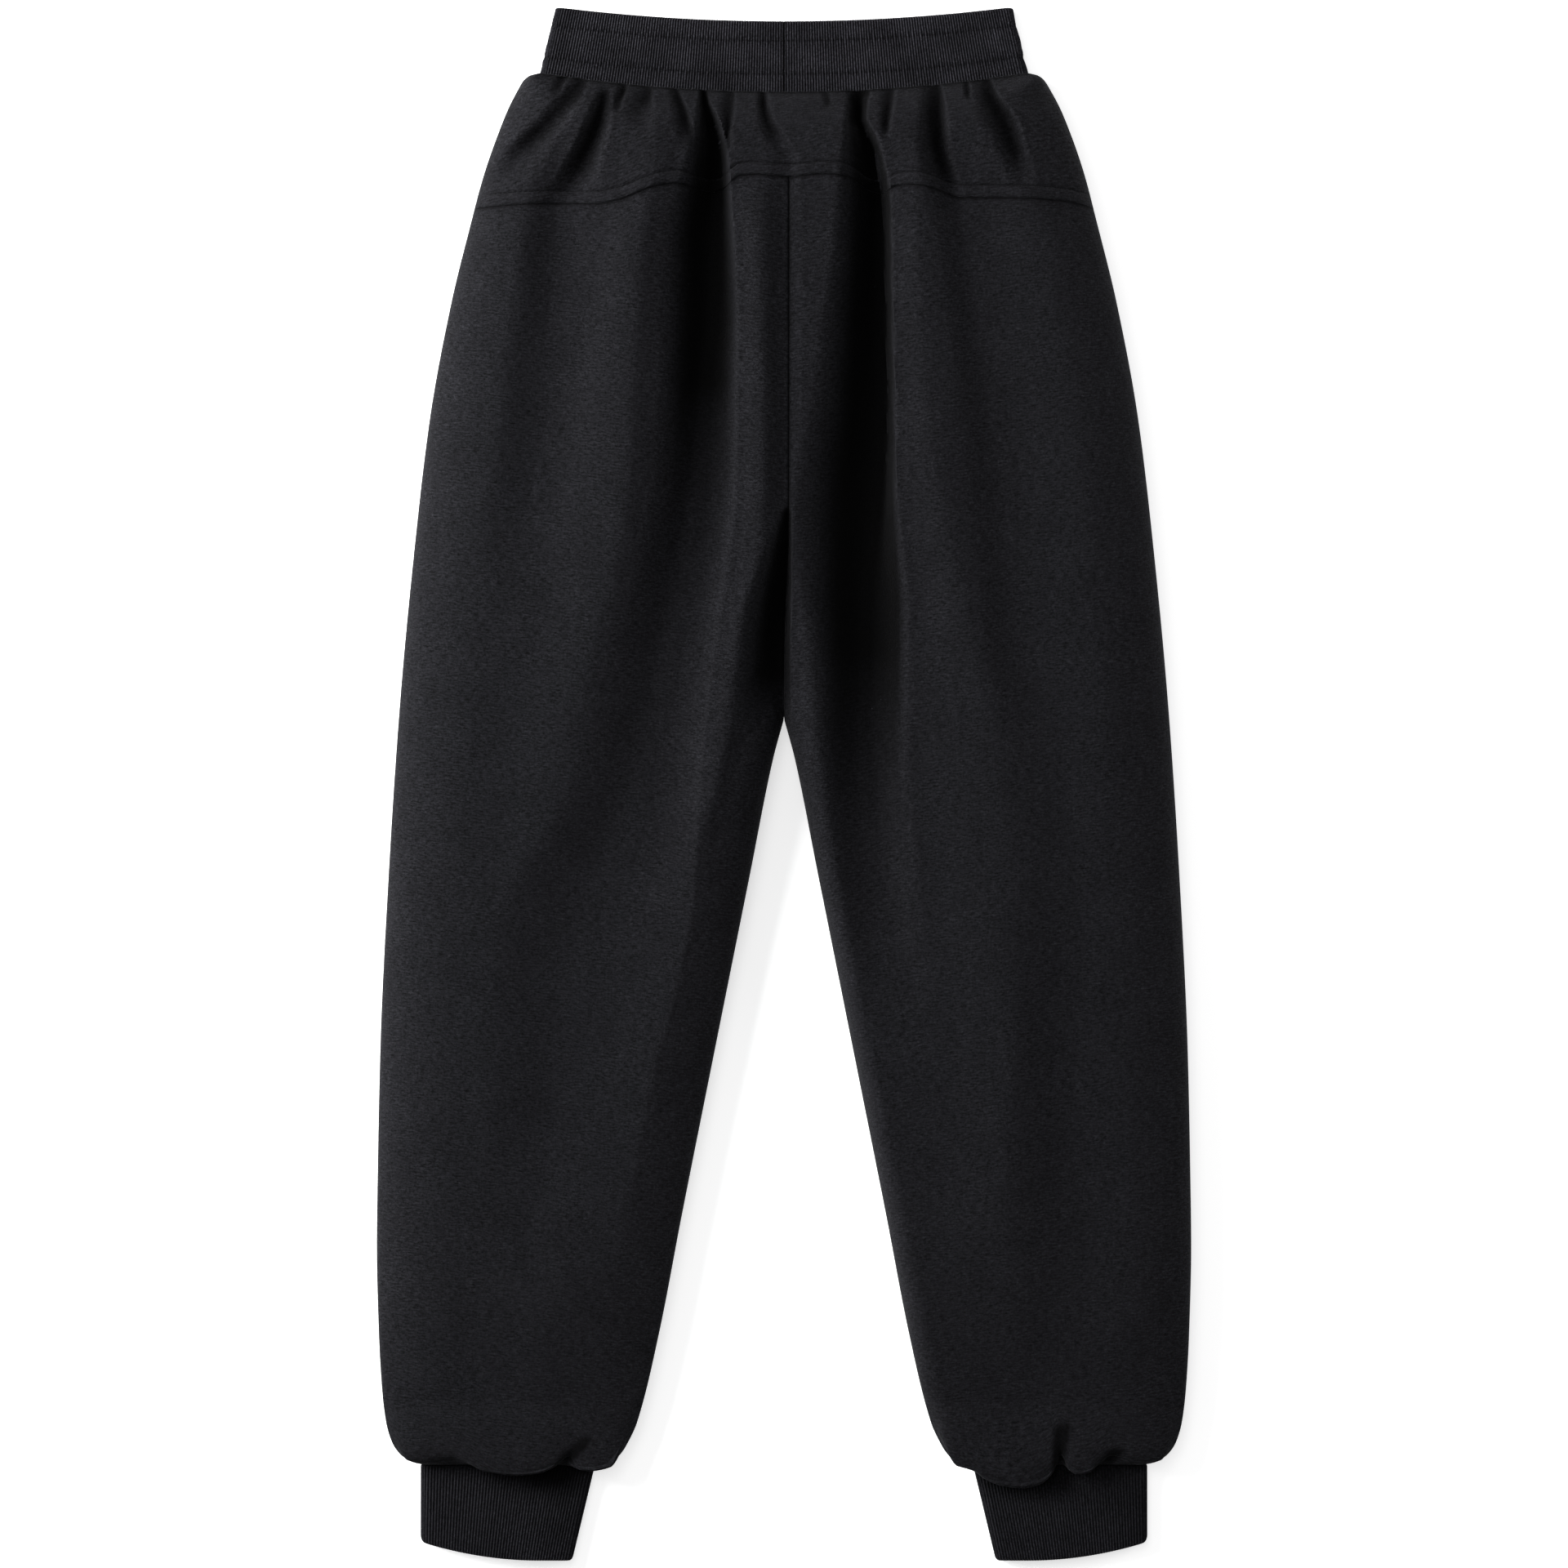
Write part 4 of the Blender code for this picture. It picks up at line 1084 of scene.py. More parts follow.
@dataclass(kw_only=True)
class SewnPiece(ClothPiece):
    """A flat-laid piece of body cloth; its grid runs down and out from the centre."""

    body: LaidBody
    faces_up: bool = True
    edge_share: float = 0.2
    least_rise: float = 0.1
    most_drop: float = 1.7

    def grid(self) -> Array:
        """Give the piece's outer points."""
        raise NotImplementedError

    def outward(self, grid: Array) -> tuple[Array, bool]:
        """Find the way out of the cloth.

        Args:
            grid: Outer points.

        Returns:
            The outward normals, and whether the grid's faces have to be turned over.
        """
        normals = ClothWall.normals(grid)
        inward = (normals[len(grid) // 2, grid.shape[1] // 2, 2] < 0.0) == self.faces_up
        return (-normals if inward else normals), not inward

    def smooth_drop(self, grid: Array, normals: Array) -> Array:
        """Step into the wall: along the normal at edges, straight down in folds.

        Args:
            grid: Outer points.
            normals: Their outward normals.

        Returns:
            Inner points.
        """
        body = self.body
        x, y = grid[..., 0], grid[..., 1]
        near = np.minimum(body.outer_x(y) - np.abs(x), body.from_inseam(x, y, body.crotch_valley))
        upright = ease((near / body.top_round - self.edge_share) / (1.0 - self.edge_share))[..., None]
        down = body.wall * np.minimum(1.0 / np.maximum(normals[..., 2], self.least_rise), self.most_drop)
        straight = grid - down[..., None] * np.array([0.0, 0.0, 1.0])
        return mix(grid - normals * body.wall, straight, upright)


@dataclass(kw_only=True)
class Yoke(SewnPiece):
    """The curved back yoke, gathered above, turned up and topstitched below."""

    columns: int = 420
    rows_above: int = 54
    row_power: float = 1.6
    row_crowding: float = 0.6
    column_crowding: float = 0.5
    turn_up: float = 8.0
    hem_start: float = 9.6
    raise_up: float = 1.3
    side_fade: float = 0.1
    level_rows: int = 8
    row_step: int = 3
    column_step: int = 4
    lip: tuple[Spot, ...] = (
        Spot(0.0, 0.0), Spot(0.0003, 0.5), Spot(0.0011, 0.55), Spot(0.004, 0.45), Spot(0.0055, 0.4),
        Spot(0.012, 0.15),
    )
    hem: tuple[Spot, ...] = (
        Spot(8.3, -0.5), Spot(7.9, -0.7), Spot(7.4, -0.2), Spot(6.6, 0.75), Spot(5.0, 1.0),
        Spot(3.2, 1.05), Spot(1.8, 1.0), Spot(0.9, 0.85), Spot(0.35, 0.55), Spot(0.0, 0.1),
    )

    def rows(self) -> list[tuple[float, float, float, float]]:
        """List the rows of the grid.

        Returns:
            For each its share of the way down, and how far back, up and over the band it lies.
        """
        even = np.linspace(0.0, 1.0, self.rows_above)
        down = mix(even, even ** self.row_power, self.row_crowding)[2:]
        rows = [(step, self.hem_start, 0.0, over) for step, over in self.lip]
        rows += [(step, self.hem_start, 0.0, 0.0) for step in down]
        return rows + [(1.0, back, up, 0.0) for back, up in self.hem]

    def grid(self) -> Array:
        """Give the yoke's outer points.

        Returns:
            Points as rows, columns and three coordinates.
        """
        body = self.body
        gap = body.seam_gap / 2
        share = np.linspace(-1.0, 1.0, self.columns + 1)
        share = mix(share, np.sin(QUARTER_TURN * share), self.column_crowding)
        inward = arch((1.0 - np.abs(share)) / self.side_fade)
        side_start = float(body.waist_y(body.waist_half)) - gap
        side_end = float(body.yoke_seam(-body.yoke_half)) + gap
        grid = []
        for step, back, up, over in self.rows():
            x = share * body.outer_x(mix(side_start, side_end, step) + back * step)
            y = mix(body.waist_y(x) - gap, body.yoke_seam(x) + gap, step) + back * step
            z = body.top_z(x, y)
            z[ENDS] = body.seam_z(x, y)[ENDS] + gap
            grid.append(np.stack((x, y + over * inward, z + up * self.raise_up * inward), axis=1))
        return np.array(grid)

    def build(self) -> bpy.types.Object:
        """Make the yoke.

        Returns:
            The yoke.
        """
        body = self.body
        grid = self.grid()
        normals, over = self.outward(grid)
        inner = self.smooth_drop(grid, normals)
        inner[: self.level_rows, :, 1] = grid[: self.level_rows, :, 1]
        inner[ENDS] = grid[ENDS] - np.array([0.0, 0.0, body.wall])
        for column, inward in zip(ENDS, (body.wall, -body.wall)):
            inner[:, column] = grid[:, column] + np.array([inward, 0.0, 0.0])
        floor = body.seam_z(inner[..., 0], grid[..., 1]) + body.seam_gap / 2
        inner[..., 2] = np.maximum(inner[..., 2], floor)
        kept = (every(len(grid), self.row_step), every(self.columns + 1, self.column_step))
        inner = inner[np.ix_(*kept)]
        hollow = body.hollow(grid[..., 0], grid[..., 1])
        return ClothWall.build(self.name, grid, inner, kept, cut_places(grid), over, hollow)


# How low the cloth between the tucks hangs over each cuff, from the inseam to the side
LOBES = {
    Side.LEFT: (
        Spot(0.0, -434.0), Spot(0.05, -437.5), Spot(0.10, -440.0), Spot(0.15, -441.0),
        Spot(0.20, -440.0), Spot(0.245, -431.5), Spot(0.31, -438.5), Spot(0.38, -442.5),
        Spot(0.47, -443.8), Spot(0.60, -441.4), Spot(0.74, -433.0), Spot(0.86, -434.5),
        Spot(1.0, -434.5),
    ),
    Side.RIGHT: (
        Spot(0.0, -434.0), Spot(0.06, -437.5), Spot(0.138, -441.0), Spot(0.19, -446.5),
        Spot(0.26, -450.5), Spot(0.346, -452.0), Spot(0.42, -449.5), Spot(0.475, -442.5),
        Spot(0.512, -430.5), Spot(0.545, -440.0), Spot(0.583, -443.0), Spot(0.63, -442.0),
        Spot(0.667, -437.5), Spot(0.73, -431.0), Spot(0.82, -433.5), Spot(1.0, -435.0),
    ),
}


@dataclass
class LegShape:
    """Where a leg curls over its cuff, with a lobe between each two tucks."""

    body: LaidBody
    side: Side
    lobe_height: float = 21.0
    cuff_clear: float = 0.9
    lobe_round: float = 0.12
    cuff_end_round: float = 0.04
    lobe_side: float = 0.07
    cuff_thick: float = 12.0

    def __post_init__(self) -> None:
        """Lay out the line of the lobes."""
        self.lowest = SmoothLine(LOBES[self.side])

    def edge_y(self, turn: float) -> float:
        """Height of the leg's two edges at a turn of the curl, in degrees."""
        return mix(self.body.curl_start_y, self.body.cuff_seam_y, math.sin(math.radians(turn / 2)))

    def point(self, share: Array, turn: float, start_z: Array) -> Array:
        """Give a row of points where the leg curls over its cuff.

        Args:
            share: Shares of the way from the inseam to the side.
            turn: How far the curl has turned, from 0 above to 180 at the seam.
            start_z: Heights where the curl starts.

        Returns:
            Points with the distance out, y and height.
        """
        angle = math.radians(turn)
        side_y = self.edge_y(turn)
        lowest = self.lowest(share)
        if turn <= 90:
            seam, wide = self.body.seam_height, self.lobe_round
            crown = mix(self.lobe_height, start_z, math.cos(angle))
            lobe_y = mix(self.body.curl_start_y, lowest, math.sin(angle))
        else:
            fall = math.sin(angle)
            seam = mix(self.cuff_thick / 2, self.body.seam_height, fall)
            wide = mix(self.cuff_end_round, self.lobe_round, fall)
            crown = mix(self.cuff_thick + self.cuff_clear, self.lobe_height, fall)
            lobe_y = mix(self.body.cuff_seam_y, lowest, 1.0 + math.cos(angle))
        inward = ease(np.minimum(share, 1.0 - share) / self.lobe_side)
        near = arch(share / wide) * arch((1.0 - share) / wide)
        x = mix(self.body.inner_x(side_y), self.body.outer_x(side_y), share)
        return np.stack((x, mix(side_y, lobe_y, inward), seam + (crown - seam) * near), axis=1)


@dataclass(kw_only=True)
class Leg(SewnPiece):
    """One layer of a leg, which curls over its cuff at the low end."""

    side: Side
    rows: int
    curl_rows: int
    row_step: int
    column_step: int = 2

    def curl_shares(self, start: Array) -> Array:
        """Give how far out each point of a row is where the curl starts.

        Args:
            start: The row's points.

        Returns:
            Shares from 0 at the inseam to 1 at the side.
        """
        body = self.body
        inside, outside = body.inner_x(body.curl_start_y), body.outer_x(body.curl_start_y)
        return (np.abs(start[:, 0]) - inside) / (outside - inside)

    def curl_turns(self) -> Array:
        """Give the turns of the curl's rows, in degrees."""
        return np.linspace(0.0, 180.0, self.curl_rows + 1)[1:]

    def close_edges(self, grid: Array, inner: Array) -> Array:
        """Set the inner points along the leg's two edges.

        Args:
            grid: Outer points.
            inner: Inner points, whose first and last columns are set.

        Returns:
            Which rows lie below the crotch.
        """
        into = np.array([0.0, 0.0, -self.body.wall if self.faces_up else self.body.wall])
        out = np.array([self.side.value * self.body.wall, 0.0, 0.0])
        below = grid[:, 0, 1] <= self.body.crotch_y
        inner[:, 0] = grid[:, 0] + np.where(below[:, None], out, into)
        inner[:, -1] = grid[:, -1] - out
        return below


@dataclass(kw_only=True)
class BackLeg(Leg):
    """A back leg, from the yoke seam to the cuff."""

    rows: int = 290
    curl_rows: int = 26
    row_step: int = 4
    columns: int = 170
    column_crowding: float = 0.6

    def shares(self) -> Array:
        """Give the columns' places, closer together at both edges."""
        even = np.linspace(0.0, 1.0, self.columns + 1)
        return mix(even, 0.5 - 0.5 * np.cos(math.pi * even), self.column_crowding)

    def grid(self) -> Array:
        """Give the leg's outer points.

        Returns:
            Points as rows, columns and three coordinates.
        """
        body = self.body
        gap = body.seam_gap / 2
        share = self.shares()
        top_y = float(body.yoke_seam(-body.yoke_half))
        grid = []
        for number, y_side in enumerate(np.linspace(top_y, body.curl_start_y, self.rows)):
            bow = ease(1.0 - (top_y - y_side) / body.bow_run)
            centre = self.side.value * float(body.centre_seam(y_side))
            inside = max(float(body.inner_x(y_side)), 0.0) + (centre if y_side > body.crotch_y else 0.0)
            x = self.side.value * mix(inside, float(body.outer_x(y_side)), share)
            first = gap if number == 0 else 0.0
            y = y_side + bow * (body.yoke_seam(x) - top_y) - first
            z = body.top_z(x, y)
            z[-1] = body.seam_height + gap
            if y_side <= body.crotch_y:
                z[0] = body.seam_height + gap
            y[-1] = y_side - first
            grid.append(np.stack((x, y, z), axis=1))
        shape = LegShape(body, self.side)
        start = grid[-1]
        shares = self.curl_shares(start)
        for turn in self.curl_turns():
            row = shape.point(shares, float(turn), start[:, 2])
            row[:, 0] *= self.side.value
            row[ENDS, 2] += gap
            grid.append(row)
        return np.array(grid)

    def build(self) -> bpy.types.Object:
        """Make the leg.

        Returns:
            The leg.
        """
        body = self.body
        sign = self.side.value
        grid = self.grid()
        normals, over = self.outward(grid)
        curled = np.arange(len(grid))[:, None] >= self.rows
        inner = np.where(curled[..., None], grid - normals * body.wall, self.smooth_drop(grid, normals))
        floor = body.seam_height + body.seam_gap / 2
        inner[..., 2] = np.where(curled, inner[..., 2], np.maximum(inner[..., 2], floor))
        inside = np.maximum(sign * inner[..., 0], sign * inner[:, :1, 0])
        inner[..., 0] = np.where(curled, inner[..., 0], sign * inside)
        inner[0] = grid[0] - np.array([0.0, 0.0, body.wall])
        inner[-1] = grid[-1] + np.array([0.0, 0.0, body.wall])
        self.close_edges(grid, inner)
        kept_rows = set(every(self.rows, self.row_step)) | set(range(self.rows - self.row_step, len(grid)))
        kept = (sorted(kept_rows), every(self.columns + 1, self.column_step))
        hollow = body.hollow(grid[..., 0], grid[..., 1])
        return ClothWall.build(self.name, grid, inner[np.ix_(*kept)], kept, cut_places(grid), over, hollow)


@dataclass(kw_only=True)
class FrontLeg(Leg):
    """A front leg, which lies on the floor with its edges turned up."""

    faces_up: bool = False
    rows: int = 180
    curl_rows: int = 14
    row_step: int = 2
    fine_rows: int = 24
    fine_low_y: float = 415.0
    edge_columns: int = 10
    middle_columns: int = 34

    def places(self, inside: float, outside: float, turn: float) -> Array:
        """Give the columns' places across, closer together where the edges turn up.

        Args:
            inside: Place of the inner edge.
            outside: Place of the outer edge.
            turn: Width of each turned-up edge.

        Returns:
            Distances out from the centre line.
        """
        steps = 1.0 - np.cos(QUARTER_TURN * np.arange(self.edge_columns) / self.edge_columns)
        middle = mix(inside + turn, outside - turn, np.linspace(0.0, 1.0, self.middle_columns))
        return np.concatenate((inside + steps * turn, middle, outside - steps[::-1] * turn))

    def grid(self) -> Array:
        """Give the leg's outer points.

        Returns:
            Points as rows, columns and three coordinates.
        """
        body = self.body
        gap = body.seam_gap / 2
        side_y = body.waist_y(body.waist_half)
        fine = np.linspace(float(side_y) - gap, self.fine_low_y, self.fine_rows)
        rest = np.linspace(self.fine_low_y, body.curl_start_y, self.rows - self.fine_rows + 1)[1:]
        grid = []
        for y_side in np.concatenate((fine, rest)):
            bow = ease(1.0 - (body.waist_middle_y - y_side) / body.bow_run)
            inside = float(body.inner_x(y_side))
            outside = float(body.outer_x(y_side))
            wide = float(mix(body.band_thick / 2, body.under_round, body.settled(outside, y_side)))
            x = self.places(inside, outside, min(wide, (outside - inside) / 3))
            y = y_side - bow * (side_y - body.waist_y(x))
            z = body.under_z(x, y)
            z[-1] = body.seam_z(outside, y_side) - gap
            if y_side <= body.crotch_y:
                z[0] = body.seam_height - gap
            grid.append(np.stack((self.side.value * x, y, z), axis=1))
        shape = LegShape(body, self.side)
        shares = self.curl_shares(grid[-1])
        for turn in self.curl_turns():
            y = shape.edge_y(float(turn))
            seam = shape.point(np.zeros(1), float(turn), np.zeros(1))[0, 2]
            x = mix(body.inner_x(y), body.outer_x(y), shares)
            near = np.minimum(shares, 1.0 - shares) * (body.outer_x(y) - body.inner_x(y))
            z = seam * (1.0 - arch(near / body.under_round))
            z[ENDS] = seam - gap
            grid.append(np.stack((self.side.value * x, np.full_like(x, y), z), axis=1))
        return np.array(grid)

    def build(self) -> bpy.types.Object:
        """Make the leg.

        Returns:
            The leg.
        """
        grid = self.grid()
        normals, over = self.outward(grid)
        inner = grid - normals * self.body.wall
        ends = [*range(self.fine_rows), *range(self.rows, len(grid))]
        inner[ends, :, 1] = grid[ends, :, 1]
        below = self.close_edges(grid, inner)
        ceiling = np.where(below, grid[:, 0, 2], np.inf)
        ceiling = np.minimum(ceiling, grid[:, -1, 2])[:, None]
        inner[..., 2] = np.minimum(inner[..., 2], ceiling)
        kept_rows = sorted({*every(len(grid), self.row_step), *ends})
        kept = (kept_rows, every(grid.shape[1], self.column_step))
        return ClothWall.build(self.name, grid, inner[np.ix_(*kept)], kept, cut_places(grid), over)


@dataclass(kw_only=True)
class RibTube(ClothPiece):
    """A flattened tube of ribbed knit."""

    thick: float
    pitch: float
    wall: float = 3.0
    relief: float = 0.42
    rib_start: float = 3.0
    ribbed_share: float = 0.7
    # rib_shade paints shade into the valleys between the ribs
    rib_shade: float = 0.2
    darkest: float = 0.9
    samples: int = 6
    levels: int = 40
    inner_levels: int = 8
    under: int = 60
    corner_steps: int = 7
    lip: float = 1.5
    lip_steps: int = 7

    def width(self, level: Array | float) -> tuple:
        """Centre and half width at a level, 0 at the low edge and 1 at the high one."""
        raise NotImplementedError

    def edge_y(self, x: Array, share: Array, level: Array | float) -> Array:
        """Height along the garment at a level."""
        raise NotImplementedError

    def pucker(self, s: Array, level: float) -> Array:
        """How far the surface stands in or out at a place round the tube."""
        return np.zeros_like(s)

    def shade(self, s: Array, level: float) -> Array:
        """How much darker a place round the tube is painted, from 0 to 1."""
        return np.zeros_like(s)

    def valleys(self, steps: int) -> Array:
        """Give how deep between two ribs each point of the upper side is, from 0 to 1."""
        return 0.5 - 0.5 * np.cos(FULL_TURN * np.arange(steps + 1) / self.samples)

    def ring(self, half: float, radius: float, steps: int, level: float, ribbed: bool) -> Array:
        """Give the points round the tube.

        Args:
            half: Half of the tube's width.
            radius: Half of its thickness.
            steps: Number of points over the upper side.
            level: Where the ring is along the tube.
            ribbed: Whether the upper side has ribs.

        Returns:
            Rows of across, height and normal.
        """
        flat = half - radius
        corner = QUARTER_TURN * radius
        length = 2 * (flat + corner)
        s = np.linspace(0.0, length, steps + 1)
        turn = np.where(s < corner, s / radius, QUARTER_TURN)
        turn = np.where(s > length - corner, math.pi - (length - s) / radius, turn)
        middle = flat - np.clip(s - corner, 0.0, 2 * flat)
        size = np.full_like(s, radius)
        if ribbed:
            wave = 1.0 - 2.0 * self.valleys(steps)
            begun = arch(np.minimum(s, length - s) / self.rib_start)
            size = size + self.relief * wave * begun + self.pucker(s, level)
        low_turn = np.linspace(math.pi, math.pi + QUARTER_TURN, self.corner_steps)[1:]
        back_turn = low_turn[-2::-1]
        x = np.concatenate((
            middle + size * np.cos(turn), -flat + radius * np.cos(low_turn),
            np.linspace(-flat, flat, self.under + 1)[1:], flat - radius * np.cos(back_turn)))
        z = np.concatenate((
            size * np.sin(turn), radius * np.sin(low_turn), np.full(self.under, -radius),
            radius * np.sin(back_turn)))
        return np.stack((x, z), axis=1)

    def loop(self, level: float, inset: float, steps: int, ribbed: bool) -> Array:
        """Give world points round the tube at a level.

        Args:
            level: Where along the tube, 0 to 1.
            inset: How far inside the outer surface.
            steps: Number of points over the upper side.
            ribbed: Whether the upper side has ribs.

        Returns:
            Points.
        """
        centre, half = self.width(level)
        radius = self.thick / 2
        flat = self.ring(float(half) - inset, radius - inset, steps, level, ribbed)
        x = centre + flat[:, 0]
        y = self.edge_y(x, flat[:, 0] / half, level)
        return np.stack((x, y, radius + flat[:, 1]), axis=1)

    def sections(self, run: float) -> list[tuple[float, float]]:
        """List the rings up the outside, over the lip and down the inside.

        Args:
            run: The tube's length.

        Returns:
            Level and inset of each ring.
        """
        centre, end = self.wall / 2, self.lip / run
        turns = np.linspace(0.0, math.pi, self.lip_steps)
        bends = [(end * (1.0 - math.sin(turn)), centre * (1.0 - math.cos(turn))) for turn in turns]
        tip = self.lip_steps // 2
        outer, inner = bends[tip:0:-1], bends[tip + 1 : -1]
        outside = [(level, 0.0) for level in np.linspace(end, 1.0 - end, self.levels)]
        high = [(1.0 - level, inset) for level, inset in (*outer[::-1], *inner)]
        inside = [(level, self.wall) for level in np.linspace(1.0 - end, end, self.inner_levels)]
        return outer + outside + high + inside + inner[::-1]

    def build(self) -> bpy.types.Object:
        """Make the closed tube, with rounded lips at both ends.

        Returns:
            The tube.
        """
        half = float(self.width(0.5)[1])
        length = 2 * (half - self.thick / 2) + math.pi * self.thick / 2
        steps = round(length / self.pitch) * self.samples
        middle = np.zeros(1)
        low, high = (float(self.edge_y(middle, middle, level)[0]) for level in (0.0, 1.0))
        places = self.sections(abs(high - low))
        grid = np.array([
            self.loop(float(level), float(inset), steps, inset < self.wall * self.ribbed_share)
            for level, inset in places
        ])
        count, around = grid.shape[:2]
        numbers = np.arange(count * around).reshape(count, around)
        beside = np.roll(numbers, -1, axis=1)
        above = (np.roll(beside, -1, axis=0), np.roll(numbers, -1, axis=0))
        quads = np.stack((numbers, beside, *above), axis=2)
        spots = np.stack((run_along(grid, 1), np.repeat(grid[:, :1, 1], around, axis=1)), axis=2)
        hollow = np.zeros((count, around))
        s = np.linspace(0.0, length, steps + 1)
        for ring, (level, _) in zip(hollow, places):
            # Shade painted between the ribs, plus the tube's own painted shade and seam darkness
            dark = self.rib_shade * self.valleys(steps) + self.shade(s, level)
            ring[: steps + 1] = np.clip(dark, 0.0, self.darkest)
        faces = [tuple(quad) for quad in quads.reshape(-1, 4).tolist()]
        return finish_mesh(
            self.name, grid.reshape(-1, 3) * MM, faces, spots.reshape(-1, 2) * MM, hollow.ravel()
        )


@dataclass(kw_only=True)
class Waistband(RibTube):
    """The elastic waistband with two rows of stitching and a join at the centre back."""

    relief: float = 0.55
    rib_shade: float = 0.4
    low_half: float = 157.2
    high_half: float = 146.8
    low_y: float = 443.75
    low_rise: float = 12.2
    high_y: float = 490.6
    high_rise: float = 9.1
    rows: tuple[float, float] = (0.27, 0.73)
    row_width: float = 0.035
    row_depth: float = 0.5
    row_shade_width: float = 0.022
    row_shade: float = 0.55
    beside_off: float = 0.05
    beside_width: float = 0.03
    beside_share: float = 0.7
    knot_depth: float = 0.28
    knot_shade: float = 0.45
    stitch_run: float = 2.7
    stitch_drift: float = 1.7
    stitch_drift_run: float = 23.0
    swell: float = 0.2
    swell_run: float = 5.3
    swell_slow_run: float = 13.0
    swell_sway: float = 2.0
    swell_sway_rise: float = 9.0
    swell_rise: float = 21.0
    join_width: float = 0.8
    join_depth: float = 1.1
    join_shade: float = 0.75

    def width(self, level: Array | float) -> tuple:
        """Centre and half width at a level."""
        return 0.0, mix(self.low_half, self.high_half, level)

    def edge_y(self, x: Array, share: Array, level: Array | float) -> Array:
        """Height along the garment at a level."""
        low = self.low_y + self.low_rise * share ** 2
        return mix(low, self.high_y + self.high_rise * share ** 2, level)

    def near_rows(self, level: float, width: float, off: float = 0.0) -> float:
        """Give how near a level is to the stitch rows, or to the lines beside them.

        Args:
            level: Where along the tube.
            width: How wide a row reaches.
            off: How far from each row the lines beside it are.

        Returns:
            About 1 on a row, and 0 away from it.
        """
        return sum(math.exp(-((abs(level - row) - off) / width) ** 2) for row in self.rows)

    def knots(self, s: Array) -> Array:
        """Give how tight each stitch is drawn, unevenly, from -1 to 1."""
        drift = self.stitch_drift * np.sin(s / self.stitch_drift_run)
        return np.sin(FULL_TURN * s / self.stitch_run + drift)

    def join(self, s: Array) -> Array:
        """Give how near the join at the centre back each place is, from 0 to 1."""
        return np.exp(-(((s - s[-1] / 2) / self.join_width) ** 2))

    def pucker(self, s: Array, level: float) -> Array:
        """Draw the stitch rows in and let the cloth between them swell unevenly.

        Args:
            s: Places round the tube.
            level: Where along the tube.

        Returns:
            How far the surface stands out.
        """
        drawn = self.near_rows(level, self.row_width)
        beside = self.near_rows(level, self.beside_width, self.beside_off)
        sway = self.swell_sway * math.sin(level * self.swell_sway_rise)
        slow = np.sin(level * self.swell_rise + s / self.swell_slow_run)
        uneven = np.sin(s / self.swell_run + sway) * slow
        knots = self.knot_depth * self.knots(s) * (drawn + self.beside_share * beside)
        return self.swell * uneven - self.row_depth * drawn + knots - self.join_depth * self.join(s)

    def shade(self, s: Array, level: float) -> Array:
        """Darken the stitch rows unevenly, and the join: their own dark seam lines, with painted shade
        where they are drawn in.

        Args:
            s: Places round the tube.
            level: Where along the tube.

        Returns:
            Shades from 0.
        """
        # Seam darkness with painted shade in the drawn-in rows and the join's groove
        uneven = 1.0 - self.knot_shade + self.knot_shade * self.knots(s)
        drawn = self.row_shade * self.near_rows(level, self.row_shade_width)
        return drawn * uneven + self.join_shade * self.join(s)


@dataclass(kw_only=True)
class Cuff(RibTube):
    """A ribbed cuff, curved along its hem as it lies."""

    side: Side
    # Where the painted shadow under the leg's overhang is centred, and where the painted shade on the side
    # away from the light starts
    overhang_middle: float
    away_start: float
    outer: float = 233.8
    hem_inner: float = 135.8
    seam_inner: float = 121.6
    hem_y: float = -499.7
    hem_rise: float = 12.1
    hem_flat: float = 157.3
    seam_y: float = -437.9
    corner: float = 2.6
    height: float = 61.8
    # Painted shadow under the overhang and painted shade on the side away from the light
    overhang_drop: float = 18.0
    overhang_half: float = 26.0
    overhang_shade: float = 0.7
    away_run: float = 46.0
    away_shade: float = 0.3

    def width(self, level: Array | float) -> tuple:
        """Centre and half width at a level."""
        inner = mix(self.hem_inner, self.seam_inner, level)
        return self.side.value * (inner + self.outer) / 2, (self.outer - inner) / 2

    def edge_y(self, x: Array, share: Array, level: Array | float) -> Array:
        """Give the height along the garment at a level.

        Args:
            x: Places across.
            share: Shares of the half width.
            level: Where along the tube.

        Returns:
            Heights along.
        """
        past = np.maximum(np.abs(x) - self.hem_flat, 0.0) / (self.outer - self.hem_flat)
        ends = (1.0 - np.abs(share)) * (self.outer - self.hem_inner) / 2
        corner = self.corner * (1.0 - arch(ends / self.corner))
        return mix(self.hem_y + self.hem_rise * past ** 2 + corner, self.seam_y, level)

    def shade(self, s: Array, level: float) -> Array:
        """Paint shadow on the rib under the leg's overhang, and shade on the side turned from the light.

        Args:
            s: Places round the tube.
            level: Where along the tube.

        Returns:
            Shades from 0.
        """
        centre, half = self.width(level)
        x = centre + half - 2 * half * s / s[-1]
        below = (1.0 - level) * self.height / self.overhang_drop
        near = (x - self.overhang_middle) / self.overhang_half
        # Painted shadow under the overhang, plus painted shade away from the light
        under = self.overhang_shade * np.exp(-near ** 2) * math.exp(-below ** 4)
        return under + self.away_shade * ease((x - self.away_start) / self.away_run)


class StitchRing(NamedTuple):
    """A ring of a stitch's thread: how far along it is, its size and its lift."""

    along: float
    size: float
    lift: float


